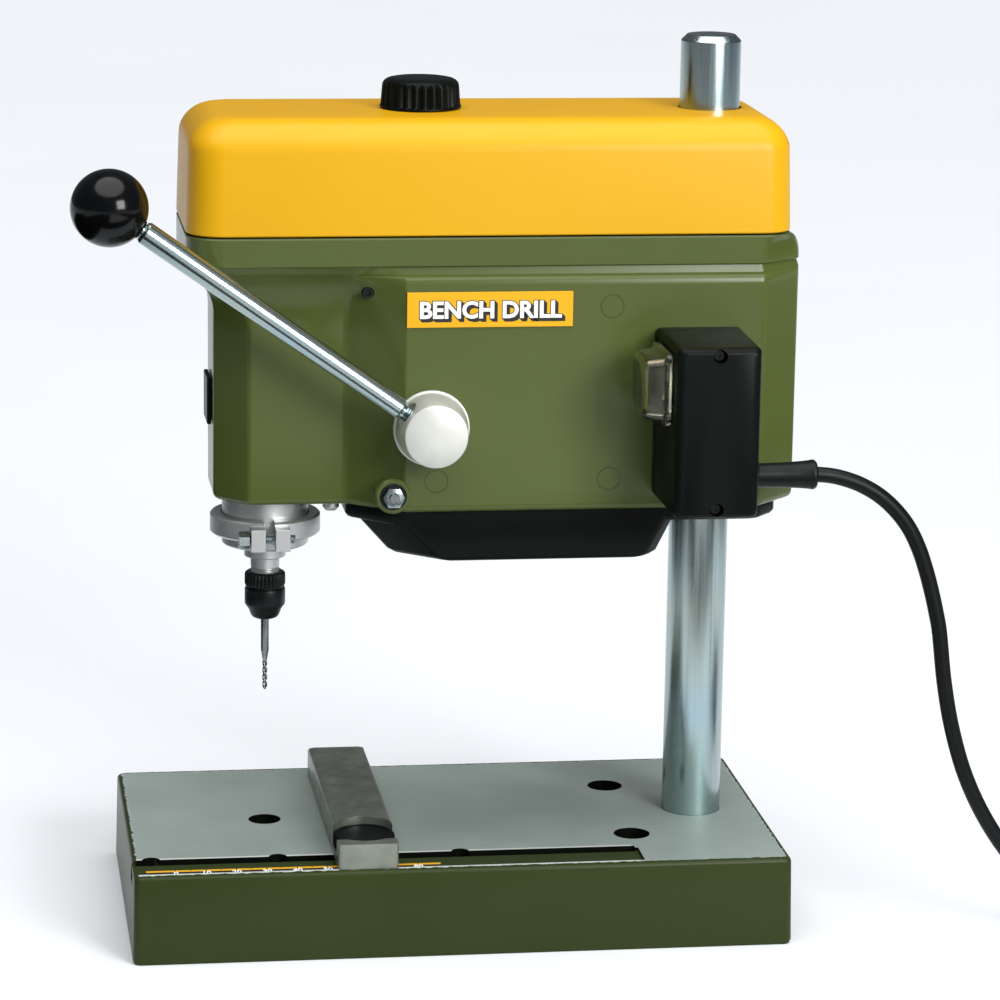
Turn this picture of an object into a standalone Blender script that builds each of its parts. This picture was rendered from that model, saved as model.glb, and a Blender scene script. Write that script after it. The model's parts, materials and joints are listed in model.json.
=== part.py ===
"""A small bench drill press: cast base, plated column, geared feed, belt drive, slotted table and fence.

Sizes are in millimetres and become metres through MM. The origin is the middle of the base's underside, +X
points from the spindle towards the column, -Y towards the person drilling, and +Z up.
"""

import math

import bmesh
import bpy
from mathutils import Vector

MM = 0.001
GAP = 0.3  # between pieces that touch
RUN = 0.1  # between a shaft and its bore

BASE_LONG = 220.0
BASE_DEEP = 120.0
BASE_HIGH = 30.0
BASE_DRAFT = 0.6
BASE_WALL = 7.0
TABLE_THICK = 14.0
RIB = 8.0
SLOT_Y = -42.5
SLOT_WIDE = 3.0
SLOT_END_X = 59.0
SLOT_DEEP = 7.0
LEDGE_DEEP = 1.0
LEDGE_FRONT_Y = -56.0
RELIEF_R = 5.5
HOLE_R = 6.1
HOLE_X = 60.5
HOLE_Y = 27.5

SPINDLE_X = -62.0
BOSS_X = -23.3
BOSS_Z = 151.3
COLUMN_X = 86.0
MOTOR_X = 26.0
FEED_X = -11.0
FEED_Z = 173.9

COLUMN_R = 10.0
COLUMN_TOP = 298.0
COLUMN_FOOT = 14.0

FENCE_X = -32.5
FENCE_WIDE = 20.0
FENCE_BACK_Y = 51.0
FENCE_FRONT_Y = -57.5
FENCE_HIGH = 10.0
WHEEL_Y = SLOT_Y
WHEEL_R = 10.25

HOUSING_FOOT = 145.3
PANEL_TOP = 219.0
RIM_FOOT = 226.5
RIM_TOP = 236.0
PANEL_Y = 38.0
RIM_Y = 35.0
RIM_LEFT = -90.0
RIM_RIGHT = 109.0
NOSE_LEFT = -80.3
NOSE_FACE_Y = 13.0
NOSE_Y = 24.0
NOSE_CORNER_X = -69.5
NOSE_BACK_X = -37.5
PANEL_LEFT = -19.6
PANEL_RIGHT = 99.0
BULGE_RIGHT = 113.0
BULGE_Y = 24.0
FLARE_FRONT = 208.0
FLARE_FRONT_R = 15.0
FLARE_SIDE = 203.0
FLARE_SIDE_R = 29.5
DECK_LOW = 223.0
DECK_HIGH = 227.5
CAVITY_LEFT = -35.5
CAVITY_RIGHT = 70.0
CAVITY_Y = 31.0

TUB_SHALLOW_Z = 140.0
TUB_DEEP_Z = 127.3
TUB_Y = 33.0
TUB_WALL = 2.0

COVER_FOOT = 236.6
COVER_TOP = 273.8
COVER_WALL = 2.4
CORNER_LEFT_R = 12.0
CORNER_RIGHT_R = 10.0

KNOB_R = 13.5
KNOB_TOP = 284.0
KNOB_FLUTES = 26

QUILL_R = 14.5
QUILL_TOP = 206.0
QUILL_FOOT = 127.5
QUILL_BORE_R = 9.8
COLLAR_R = QUILL_R + 4.0
LUG_BACK_Y = -(QUILL_R + 1.5)
LUG_FRONT_Y = LUG_BACK_Y - 7.4
COLLAR_LOW = 131.3
COLLAR_HIGH = 138.3
SHAFT_R = 4.0
DRIVE_R = 4.4
SPINDLE_TOP = 266.0
DRILL_TIP = 76.0

MODULE = 1.0
RACK_X = SPINDLE_X + 15.0
SECTOR_TEETH_ROUND = 72
SECTOR_FIRST_DEG = 120.0
SECTOR_LAST_DEG = 195.0
TOOTH_SLACK = 0.14

BELT_R = 2.2
BELT_Z = 248.0
MOTOR_GROOVE_R = 13.5
SPINDLE_GROOVE_R = 14.5
STEP_RISE = 9.0
STEP_CHANGE = 4.5

BOX_LEFT = 62.4
BOX_RIGHT = 91.3
BOX_FRONT_Y = -76.0
BOX_LOW = 150.5
BOX_HIGH = 206.4

LEVER_DEG = 35.4
LEVER_Y = -45.0
BALL_REACH = 128.0
BALL_R = 12.5

CORD_R = 2.6
CORD_Y = -57.0
CORD_END_Y = -67.0
RELIEF_TIP_X = 113.3
COIL_R = 29.9  # the middle of its turns
COIL_TURNS = 8.25  # in two layers, a diameter apart
COIL_SPREAD = COIL_TURNS / 2 * 2 * CORD_R
COIL_X = 259.4
COIL_CLEAR = 0.44  # between the cord's end and the coil it runs into
PLUG_START = 22.6  # from the coil's middle, along the cord's last run
PLUG_HALF_WIDE = 12.0
PLUG_HALF_HIGH = 5.2
PIN_R = 2.0
PIN_SPACING = 18.6
PIN_LONG = 19.0


def clear_scene():
    """Removes what the scene starts with."""
    for old in list(bpy.data.objects):
        bpy.data.objects.remove(old, do_unlink=True)


def new_collection(name):
    made = bpy.data.collections.new(name)
    bpy.context.scene.collection.children.link(made)
    return made


clear_scene()
PRESS = new_collection("drill_press")
CUTTERS = new_collection("cutters")


def paint(name, colour, roughness, metallic=0.0):
    made = bpy.data.materials.new(name)
    made.use_nodes = True
    shader = made.node_tree.nodes["Principled BSDF"]
    shader.inputs["Base Color"].default_value = (*colour, 1.0)
    shader.inputs["Roughness"].default_value = roughness
    shader.inputs["Metallic"].default_value = metallic
    return made


ENAMEL = paint("green_enamel", (0.055, 0.075, 0.024), 0.25)
YELLOW = paint("yellow_abs", (0.76, 0.42, 0.01), 0.35)
BLACK = paint("black_plastic", (0.012, 0.013, 0.013), 0.4)
CLEAR = paint("clear_vinyl", (0.8, 0.8, 0.72), 0.15)
STEEL = paint("turned_steel", (0.55, 0.56, 0.56), 0.3, 1.0)
PLATED = paint("zinc_plate", (0.68, 0.72, 0.76), 0.22, 1.0)
ZINC = paint("die_cast_zinc", (0.4, 0.4, 0.39), 0.45, 1.0)
ALUMINIUM = paint("turned_aluminium", (0.75, 0.75, 0.75), 0.35, 1.0)
RUBBER = paint("rubber", (0.02, 0.02, 0.02), 0.7)


def finish(obj, material):
    obj.data.materials.clear()
    obj.data.materials.append(material)
    return obj


def as_cutter(obj):
    """Moves an object among the helpers, which no render shows."""
    for home in list(obj.users_collection):
        home.objects.unlink(obj)
    CUTTERS.objects.link(obj)
    obj.hide_render = True
    obj.display_type = "WIRE"
    return obj


def combine(target, other, operation):
    as_cutter(other)
    modifier = target.modifiers.new(f"{operation} {other.name}", "BOOLEAN")
    modifier.object = other
    modifier.operation = operation
    modifier.solver = "EXACT"


def cut(target, *others):
    for other in others:
        combine(target, other, "DIFFERENCE")
    return target


def join(target, *others):
    for other in others:
        combine(target, other, "UNION")
    return target


def put(name, bm, origin):
    mesh = bpy.data.meshes.new(name)
    bm.to_mesh(mesh)
    bm.free()
    obj = bpy.data.objects.new(name, mesh)
    obj.location = Vector(origin) * MM
    PRESS.objects.link(obj)
    return obj


def rounded(obj, width, segments=2, angle=40.0):
    """Rounds an object's sharp edges."""
    bevel = obj.modifiers.new("Edges", "BEVEL")
    bevel.width = width * MM
    bevel.segments = segments
    bevel.limit_method = "ANGLE"
    bevel.angle_limit = math.radians(angle)
    return obj


def block(name, low, high, origin=None):
    """A box between two corners. Its origin is its middle unless one is given."""
    low, high = Vector(low), Vector(high)
    middle = (low + high) / 2
    start = middle if origin is None else Vector(origin)
    bm = bmesh.new()
    bmesh.ops.create_cube(bm, size=1.0)
    bmesh.ops.scale(bm, vec=(high - low) * MM, verts=bm.verts)
    bmesh.ops.translate(bm, vec=(middle - start) * MM, verts=bm.verts)
    return put(name, bm, start)


def bar(name, radius, start, end, sides=32):
    """A plain round or many-sided bar between two points."""
    start, end = Vector(start), Vector(end)
    bm = bmesh.new()
    bmesh.ops.create_cone(
        bm,
        cap_ends=True,
        segments=sides,
        radius1=radius * MM,
        radius2=radius * MM,
        depth=(end - start).length * MM,
    )
    obj = put(name, bm, (start + end) / 2)
    obj.rotation_euler = Vector((0, 0, 1)).rotation_difference(end - start).to_euler()
    return obj


def turned(name, profile, at, axis=(0, 0, 1), steps=32, ring=False):
    """A turned piece: (radius, height) points from its top down its outer side, a closed loop for a ring."""
    bm = bmesh.new()
    points = [bm.verts.new((radius * MM, 0, height * MM)) for radius, height in profile]
    for first, second in zip(points, points[1:]):
        bm.edges.new((first, second))
    if ring:
        bm.edges.new((points[-1], points[0]))
    obj = put(name, bm, at)
    obj.rotation_euler = Vector((0, 0, 1)).rotation_difference(Vector(axis)).to_euler()
    screw = obj.modifiers.new("Turn", "SCREW")
    screw.axis = "Z"
    screw.steps = steps
    screw.render_steps = steps
    screw.use_merge_vertices = True
    screw.merge_threshold = 0.00001
    return obj


def tube_ring(name, outer, inner, low, high, at, axis=(0, 0, 1), steps=32):
    profile = [(outer, high), (outer, low), (inner, low), (inner, high)]
    return turned(name, profile, at, axis, steps, ring=True)


def loft(name, rings, origin=(0, 0, 0)):
    """A solid through closed rings of equally many points, from the lowest ring up."""
    bm = bmesh.new()
    start = Vector(origin)
    rows = [[bm.verts.new((Vector(point) - start) * MM) for point in ring] for ring in rings]
    count = len(rows[0])
    for lower, upper in zip(rows, rows[1:]):
        for i in range(count):
            j = (i + 1) % count
            bm.faces.new((lower[i], lower[j], upper[j], upper[i]))
    bm.faces.new(list(reversed(rows[0])))
    bm.faces.new(rows[-1])
    bmesh.ops.recalc_face_normals(bm, faces=bm.faces)
    return put(name, bm, start)


def flat(name, outline, thickness, at, rotation=(0, 0, 0)):
    """A plate of even thickness, centred on its own plane, from a drawn outline."""
    curve = bpy.data.curves.new(name, "CURVE")
    curve.dimensions = "2D"
    curve.fill_mode = "BOTH"
    curve.extrude = thickness / 2 * MM
    spline = curve.splines.new("POLY")
    spline.points.add(len(outline) - 1)
    for point, (x, y) in zip(spline.points, outline):
        point.co = (x * MM, y * MM, 0, 1)
    spline.use_cyclic_u = True
    drawn = bpy.data.objects.new(name + "_outline", curve)
    drawn.location = Vector(at) * MM
    drawn.rotation_euler = rotation
    PRESS.objects.link(drawn)
    bpy.context.view_layer.update()
    graph = bpy.context.evaluated_depsgraph_get()
    mesh = bpy.data.meshes.new_from_object(drawn.evaluated_get(graph))
    bm = bmesh.new()
    bm.from_mesh(mesh)
    bmesh.ops.remove_doubles(bm, verts=bm.verts, dist=0.000001)
    bm.to_mesh(mesh)
    bm.free()
    obj = bpy.data.objects.new(name, mesh)
    obj.matrix_world = drawn.matrix_world.copy()
    PRESS.objects.link(obj)
    bpy.data.objects.remove(drawn, do_unlink=True)
    return obj


def arc(centre, radius, first, last, steps):
    """Points along an arc in plan, ends included, with angles in degrees."""
    for i in range(steps + 1):
        angle = math.radians(first + (last - first) * i / steps)
        yield centre[0] + radius * math.cos(angle), centre[1] + radius * math.sin(angle)


def mirrored(half):
    """A whole outline from its half at +Y, which runs from left to right."""
    return list(half) + [(x, -y) for x, y in reversed(list(half))]


def rounded_plan(left, right, half, left_r, right_r, steps=4):
    """A rectangle in plan with rounded corners, the left pair and the right pair of one radius each."""
    side = list(arc((left + left_r, half - left_r), left_r, 180, 90, steps))
    side += list(arc((right - right_r, half - right_r), right_r, 90, 0, steps))
    return mirrored(side)


def at_height(outline, z):
    return [(x, y, z) for x, y in outline]


# Base


def build_base():
    half_long, half_deep = BASE_LONG / 2, BASE_DEEP / 2
    rings = []
    for z, inset in ((0, 0), (BASE_HIGH - 1.4, BASE_DRAFT), (BASE_HIGH, BASE_DRAFT + 1.2)):
        plan = rounded_plan(inset - half_long, half_long - inset, half_deep - inset, 3, 3, 3)
        rings.append(at_height(plan, z))
    base = loft("base_plate", rings)
    ceiling = BASE_HIGH - TABLE_THICK
    outer_x, outer_y = half_long - BASE_WALL, half_deep - BASE_WALL
    rib = RIB / 2
    relief_rib = RELIEF_R + 4.5
    right_end = HOLE_X - HOLE_R - 4.4
    pockets = (
        ("left_back", (-outer_x, relief_rib), (-rib, outer_y)),
        ("left_front", (-outer_x, -outer_y), (-rib, -relief_rib)),
        ("right_back", (rib, rib), (right_end, outer_y)),
        ("right_front", (rib, -outer_y), (right_end, -rib)),
    )
    for name, low, high in pockets:
        cut(base, block("pocket_" + name, (*low, -1), (*high, ceiling)))
    over = half_long + 1
    top = BASE_HIGH + 1
    slot_floor = BASE_HIGH - SLOT_DEEP
    slot_half = SLOT_WIDE / 2
    cut(
        base,
        block("slot_neck", (-over, SLOT_Y - slot_half, slot_floor), (SLOT_END_X, SLOT_Y + slot_half, top)),
        block(
            "slot_head", (-over, SLOT_Y - 4.5, slot_floor), (SLOT_END_X - 0.5, SLOT_Y + 4.5, slot_floor + 4)
        ),
        block("ledge", (-over, LEDGE_FRONT_Y, BASE_HIGH - LEDGE_DEEP), (SLOT_END_X + 1, SLOT_Y - 0.5, top)),
        bar("relief_bore", RELIEF_R, (SPINDLE_X, 0, -1), (SPINDLE_X, 0, top)),
        bar("back_bore", HOLE_R, (HOLE_X, HOLE_Y, -1), (HOLE_X, HOLE_Y, top)),
        bar("front_bore", HOLE_R, (HOLE_X, -HOLE_Y, -1), (HOLE_X, -HOLE_Y, top)),
        bar("column_socket", COLUMN_R + RUN, (COLUMN_X, 0, COLUMN_FOOT), (COLUMN_X, 0, top), 48),
        bar("set_screw_bore", 3.2, (COLUMN_X, 0, 20), (COLUMN_X, half_deep + 1, 20), 16),
    )
    finish(base, ENAMEL)
    strip = block(
        "scale_strip",
        (4.6 - half_long, -54, BASE_HIGH - LEDGE_DEEP + 0.05),
        (-7.7, -50.5, BASE_HIGH - LEDGE_DEEP + 0.35),
    )
    finish(strip, YELLOW)
    column = turned(
        "column",
        [
            (0, COLUMN_TOP),
            (COLUMN_R - 2, COLUMN_TOP),
            (COLUMN_R, COLUMN_TOP - 2),
            (COLUMN_R, COLUMN_FOOT + GAP),
            (0, COLUMN_FOOT + GAP),
        ],
        (COLUMN_X, 0, 0),
        steps=48,
    )
    finish(column, PLATED)
    screw = bar("column_set_screw", 3.0, (COLUMN_X, COLUMN_R + GAP, 20), (COLUMN_X, half_deep - 12, 20), 16)
    finish(screw, STEEL)


# Fence


def build_fence():
    left, right = FENCE_X - FENCE_WIDE / 2, FENCE_X + FENCE_WIDE / 2
    foot = BASE_HIGH + GAP / 3
    top = BASE_HIGH + FENCE_HIGH
    wheel_foot = BASE_HIGH + 3
    front_top = BASE_HIGH + 8.6
    over = top + 1
    fence = block("fence_bar", (left, FENCE_FRONT_Y, foot), (right, FENCE_BACK_Y, top))
    pocket_back = WHEEL_Y + WHEEL_R + 0.7
    cut(
        fence,
        block("wheel_gap", (left - 1, FENCE_FRONT_Y + 6, wheel_foot - GAP), (right + 1, WHEEL_Y + 4, over)),
        bar(
            "wheel_pocket",
            pocket_back - WHEEL_Y,
            (FENCE_X, WHEEL_Y, wheel_foot - GAP),
            (FENCE_X, WHEEL_Y, over),
        ),
        block("front_step", (left - 1, FENCE_FRONT_Y - 1, front_top), (right + 1, FENCE_FRONT_Y + 7, over)),
        bar("stud_bore", 1.6, (FENCE_X, WHEEL_Y, foot - 1), (FENCE_X, WHEEL_Y, over), 16),
    )
    finish(fence, ZINC)
    slot_floor = BASE_HIGH - SLOT_DEEP
    stud = turned(
        "fence_stud",
        [
            (0, BASE_HIGH + 7),
            (1.3, BASE_HIGH + 7),
            (1.3, slot_floor + 3),
            (4, slot_floor + 3),
            (4, slot_floor + 0.5),
            (0, slot_floor + 0.5),
        ],
        (FENCE_X, WHEEL_Y, 0),
        steps=20,
    )
    finish(stud, STEEL)
    wheel = turned(
        "fence_wheel",
        [
            (WHEEL_R - 0.8, 5.0),
            (WHEEL_R, 4.2),
            (WHEEL_R, 0.6),
            (WHEEL_R - 0.6, 0),
            (1.5, 0),
            (1.5, 5.0),
        ],
        (FENCE_X, WHEEL_Y, wheel_foot),
        steps=40,
        ring=True,
    )
    finish(wheel, BLACK)


# Head


def housing_half(z, inset=0.0):
    """The housing's half outline at one height: nose, slanted wall, side panel and rear bulge."""
    front_up = min(max(z - FLARE_FRONT, 0), FLARE_FRONT_R - 0.9)
    side_up = min(max(z - FLARE_SIDE, 0), RIM_FOOT - FLARE_SIDE)
    front_out = FLARE_FRONT_R - math.sqrt(FLARE_FRONT_R**2 - front_up**2)
    side_out = FLARE_SIDE_R - math.sqrt(FLARE_SIDE_R**2 - side_up**2)
    part = min(side_out / (RIM_Y - NOSE_Y), 1)
    left = max(NOSE_LEFT - front_out, RIM_LEFT) + inset
    nose_y = min(NOSE_Y + side_out, RIM_Y) - inset
    panel = max(RIM_Y, PANEL_Y - max(z - PANEL_TOP, 0)) - inset
    bulge_up = min(max(z - 205, 0) / 24, 1)
    swell = bulge_up * bulge_up * (3 - 2 * bulge_up)
    right = BULGE_RIGHT + (RIM_RIGHT - BULGE_RIGHT) * swell - inset
    back_y = BULGE_Y + (RIM_Y - CORNER_RIGHT_R - BULGE_Y) * swell
    face_y = NOSE_FACE_Y + (RIM_Y - CORNER_LEFT_R - NOSE_FACE_Y) * part
    corner_x = NOSE_CORNER_X + (RIM_LEFT + CORNER_LEFT_R - NOSE_CORNER_X) * part + inset / 2
    steps = 4
    bend = list(arc((corner_x, face_y), 1, 180, 90, steps))
    half = []
    for i, (x, y) in enumerate(bend):
        share = i / steps
        flat_x, flat_y = left + (corner_x - left) * share, face_y + (nose_y - face_y) * share
        bent_x = corner_x + (x - corner_x) * (corner_x - left)
        bent_y = face_y + (y - face_y) * (nose_y - face_y)
        half.append((flat_x + (bent_x - flat_x) * part, flat_y + (bent_y - flat_y) * part))
    half.append((NOSE_BACK_X, nose_y))
    half.append((PANEL_LEFT + inset / 2, panel))
    half.append((PANEL_RIGHT - inset / 2, panel))
    square = PANEL_RIGHT + (RIM_RIGHT - CORNER_RIGHT_R - PANEL_RIGHT) * swell
    for i, (x, y) in enumerate(arc((square, back_y), 1, 90, 0, steps)):
        if i:
            share = i / steps
            flat_x, flat_y = square + (right - square) * share, panel + (back_y - panel) * share
            bent_x = square + (x - square) * (right - square)
            bent_y = back_y + (y - back_y) * (panel - back_y)
            half.append((flat_x + (bent_x - flat_x) * swell, flat_y + (bent_y - flat_y) * swell))
    return half


def build_housing():
    heights = [HOUSING_FOOT, HOUSING_FOOT + 1.5, 203, 207, 210, 213, 216]
    heights += [PANEL_TOP, 222, 224.5, RIM_FOOT, RIM_TOP]
    rings = [at_height(mirrored(housing_half(z, 1.4 if z == HOUSING_FOOT else 0)), z) for z in heights]
    housing = loft("head_housing", rings)
    over = RIM_TOP + 1
    well = [at_height(mirrored(housing_half(z, 3.2)), z) for z in (DECK_HIGH, over)]
    sweep_r = SECTOR_TEETH_ROUND * MODULE / 2 + 2.2
    bay = [(CAVITY_LEFT, CAVITY_Y - 11), (CAVITY_LEFT + 17, CAVITY_Y), (CAVITY_RIGHT, CAVITY_Y)]
    boss = bar("side_boss", 5.9, (BOSS_X, -26, BOSS_Z), (BOSS_X, -39, BOSS_Z), 28)
    join(housing, boss)
    cut(
        housing,
        loft("belt_well", well),
        loft("motor_bay", [at_height(mirrored(bay), z) for z in (HOUSING_FOOT - 1, DECK_LOW)]),
        bar("quill_bore", QUILL_R + RUN, (SPINDLE_X, 0, HOUSING_FOOT - 1), (SPINDLE_X, 0, 214), 48),
        bar("pulley_bearing_seat", 13.1, (SPINDLE_X, 0, 213), (SPINDLE_X, 0, DECK_HIGH + 1)),
        bar("sector_room", sweep_r, (FEED_X, -5.5, FEED_Z), (FEED_X, 5.5, FEED_Z), 48),
        block("rack_room", (SPINDLE_X, -4.5, HOUSING_FOOT - 1), (RACK_X + 1.8, 4.5, 213)),
        bar("column_bore", COLUMN_R + RUN, (COLUMN_X, 0, HOUSING_FOOT - 1), (COLUMN_X, 0, over), 48),
        bar("motor_boss_hole", 8, (MOTOR_X, 0, DECK_LOW - 1), (MOTOR_X, 0, DECK_HIGH + 1)),
        bar("stud_hole", 3.2, (FEED_X, 0, DECK_LOW - 1), (FEED_X, 0, DECK_HIGH + 1), 16),
        bar("feed_bore", 5.1, (FEED_X, -PANEL_Y - 1, FEED_Z), (FEED_X, PANEL_Y + 1, FEED_Z), 32),
        bar("clamp_bolt_bore", 2.2, (BOSS_X, -40, BOSS_Z), (BOSS_X, -24, BOSS_Z), 16),
    )
    finish(housing, ENAMEL)


def tub_half(z, grow=0.0):
    """Half of the tub's plan, whose left and right ends slant in below the shallow part."""
    down = max(TUB_SHALLOW_Z + 5 - z, 0)
    left = -37.0 + down * 0.9
    right = 74.0 - down * 0.5
    y = TUB_Y - grow
    return [
        (left + grow, 20.0 - grow),
        (left + 15.0, y),
        (right - 4.0 - grow, y),
        (right - grow, y - 4.0),
    ]


def shelf_half(grow=0.0):
    right = 107.0 - grow
    y = TUB_Y - grow
    return [(-37.0 + grow, 20.0 - grow), (-22.0, y), (right - 8.0, y), (right, y - 8.0)]


def build_tub():
    top = HOUSING_FOOT - GAP
    tub = loft("bottom_cover", [at_height(mirrored(shelf_half()), z) for z in (TUB_SHALLOW_Z, top)])
    deep = [(TUB_DEEP_Z, 1.2), (TUB_DEEP_Z + 1.6, 0), (top - 1.5, 0)]
    join(tub, loft("tub_deep", [at_height(mirrored(tub_half(z, grow)), z) for z, grow in deep]))
    inner = [(TUB_DEEP_Z + TUB_WALL, TUB_WALL), (top + 1, TUB_WALL)]
    cut(
        tub,
        loft("tub_room", [at_height(mirrored(tub_half(z, grow)), z) for z, grow in inner]),
        bar("tub_column_hole", COLUMN_R + 1, (COLUMN_X, 0, TUB_SHALLOW_Z - 1), (COLUMN_X, 0, top + 1)),
    )
    finish(tub, BLACK)


def build_motor():
    can_r = 26.5
    foot, top = 131.0, 212.0
    can = turned(
        "motor_can",
        [
            (7.5, DECK_HIGH - 0.5),
            (7.5, DECK_LOW - 2),
            (14, DECK_LOW - 2),
            (14, top),
            (can_r - 2, top),
            (can_r, top - 2),
            (can_r, foot + 2),
            (can_r - 2, foot),
            (2.6, foot),
            (2.6, DECK_HIGH - 0.5),
        ],
        (MOTOR_X, 0, 0),
        steps=24,
        ring=True,
    )
    finish(can, STEEL)
    shaft = bar("motor_shaft", 2.5, (MOTOR_X, 0, foot + 1), (MOTOR_X, 0, COVER_TOP - 7), 16)
    finish(shaft, STEEL)


def stepped_pulley(name, x, groove_r, low_change, bore_r, sleeve=None):
    """A three-step pulley. Its middle groove carries the belt, and its steps grow or shrink downwards."""
    half = STEP_RISE / 2
    profile = []
    for step in (1, 0, -1):
        radius = groove_r - step * low_change
        middle = BELT_Z + step * STEP_RISE
        profile += [
            (radius + 1.5, middle + half - 0.05 * (step == 1)),
            (radius + 1.5, middle + 3),
            (radius - 2.5, middle + 2.1),
            (radius - 2.5, middle - 2.1),
            (radius + 1.5, middle - 3),
            (radius + 1.5, middle - half),
        ]
    foot = BELT_Z - 1.5 * STEP_RISE
    if sleeve:
        profile += [(sleeve, foot), (sleeve, DECK_LOW - 6), (bore_r, DECK_LOW - 6)]
    else:
        profile += [(bore_r, foot)]
    profile += [(bore_r, BELT_Z + 1.5 * STEP_RISE - 0.05)]
    return finish(turned(name, profile, (x, 0, 0), steps=20, ring=True), ALUMINIUM)


def build_drive():
    stepped_pulley("motor_pulley", MOTOR_X, MOTOR_GROOVE_R, STEP_CHANGE, 2.7)
    pulley = stepped_pulley("spindle_pulley", SPINDLE_X, SPINDLE_GROOVE_R, -STEP_CHANGE, 4.0, 7.0)
    drive = bar("drive_bore", DRIVE_R + 0.3, (SPINDLE_X, 0, DECK_LOW - 8), (SPINDLE_X, 0, COVER_TOP), 6)
    cut(pulley, drive)
    bearing = tube_ring("pulley_bearing", 12.9, 7.2, 215, DECK_HIGH - 0.5, (SPINDLE_X, 0, 0))
    finish(bearing, STEEL)
    span = MOTOR_X - SPINDLE_X
    lean = math.degrees(math.asin((SPINDLE_GROOVE_R - MOTOR_GROOVE_R) / span))
    loop = list(arc((SPINDLE_X, 0), SPINDLE_GROOVE_R, 90 - lean, 270 + lean, 16))
    loop += list(arc((MOTOR_X, 0), MOTOR_GROOVE_R, -90 + lean, 90 - lean, 16))
    curve = bpy.data.curves.new("drive_belt", "CURVE")
    curve.dimensions = "3D"
    curve.bevel_depth = BELT_R * MM
    curve.bevel_resolution = 2
    spline = curve.splines.new("POLY")
    spline.points.add(len(loop) - 1)
    for point, (x, y) in zip(spline.points, loop):
        point.co = (x * MM, y * MM, BELT_Z * MM, 1)
    spline.use_cyclic_u = True
    belt = bpy.data.objects.new("drive_belt", curve)
    PRESS.objects.link(belt)
    finish(belt, RUBBER)


def build_cover():
    lid_plan = [
        (COVER_FOOT, 0.0),
        (COVER_TOP - 8.0, 0.8),
        (COVER_TOP - 4.6, 2.0),
        (COVER_TOP - 1.8, 4.4),
        (COVER_TOP - 0.4, 7.0),
        (COVER_TOP, 9.4),
    ]

    def ring(z, inset):
        outline = rounded_plan(
            RIM_LEFT + inset,
            RIM_RIGHT - inset,
            RIM_Y - inset,
            max(CORNER_LEFT_R - inset, 3),
            max(CORNER_RIGHT_R - inset, 3),
        )
        return at_height(outline, z)

    cover = loft("belt_cover", [ring(z, inset) for z, inset in lid_plan])
    room = [ring(COVER_FOOT - 1, COVER_WALL)]
    room += [ring(z - COVER_WALL, inset + COVER_WALL * 0.8) for z, inset in lid_plan[1:]]
    cut(
        cover,
        loft("cover_room", room),
        bar("cover_column_hole", COLUMN_R + 0.5, (COLUMN_X, 0, COVER_FOOT), (COLUMN_X, 0, COVER_TOP + 1), 48),
        bar("cover_stud_hole", 3.3, (FEED_X, 0, COVER_TOP - 8), (FEED_X, 0, COVER_TOP + 1), 16),
    )
    finish(cover, YELLOW)
    flutes = KNOB_FLUTES * 4
    rings = []
    for z, radius, depth in ((0, KNOB_R - 0.4, 0.7), (7.2, KNOB_R, 0.8), (9.4, KNOB_R - 1.6, 0.5)):
        outline = []
        for i in range(flutes):
            angle = 2 * math.pi * i / flutes
            reach = radius - depth * (i % 4 == 0)
            outline.append((FEED_X + reach * math.cos(angle), reach * math.sin(angle)))
        rings.append(at_height(outline, COVER_TOP + GAP + z))
    top = [(FEED_X + x, y, KNOB_TOP) for x, y in arc((0, 0), KNOB_R - 4, 0, 360 - 360 / flutes, flutes - 1)]
    knob = loft("cover_knob", [*rings, top], (FEED_X, 0, COVER_TOP))
    cut(knob, bar("knob_bore", 2.9, (FEED_X, 0, COVER_TOP - 1), (FEED_X, 0, COVER_TOP + 6.6), 16))
    finish(knob, BLACK)
    stud = turned(
        "cover_stud",
        [
            (0, COVER_TOP + 6),
            (2.6, COVER_TOP + 6),
            (2.6, DECK_HIGH + 5),
            (5, DECK_HIGH + 5),
            (5, DECK_HIGH + GAP),
            (0, DECK_HIGH + GAP),
        ],
        (FEED_X, 0, 0),
        steps=16,
    )
    finish(stud, STEEL)


def build_head_trim():
    label = block("label_plate", (-19.4, -PANEL_Y - 0.7, 207.2), (35, -PANEL_Y - 0.1, PANEL_TOP - 0.2))
    finish(label, YELLOW)
    plate = block("nose_plate", (NOSE_LEFT - 1.7, -8, 169.7), (NOSE_LEFT - 0.2, 8, 185.4))
    finish(rounded(plate, 0.4), BLACK)
    screw = turned(
        "nose_screw",
        [(0, -GAP), (2.75, -GAP), (2.75, -2.2), (1.9, -3.3), (0, -3.3)],
        (-41.5, -16, HOUSING_FOOT),
        steps=16,
    )
    finish(screw, STEEL)
    bolt = turned(
        "clamp_bolt",
        [(0, 3.6), (1.9, 3.2), (1.9, 2.6), (3.4, 2.6), (3.4, 0.2), (2.0, 0.2), (2.0, -12), (0, -12)],
        (BOSS_X, -PANEL_Y - 1, BOSS_Z),
        (0, -1, 0),
        steps=12,
    )
    finish(bolt, STEEL)
    spring = tube_ring("return_spring", 12, 5.4, 20, 28, (FEED_X, 0, FEED_Z), (0, 1, 0), 24)
    finish(spring, STEEL)


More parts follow.
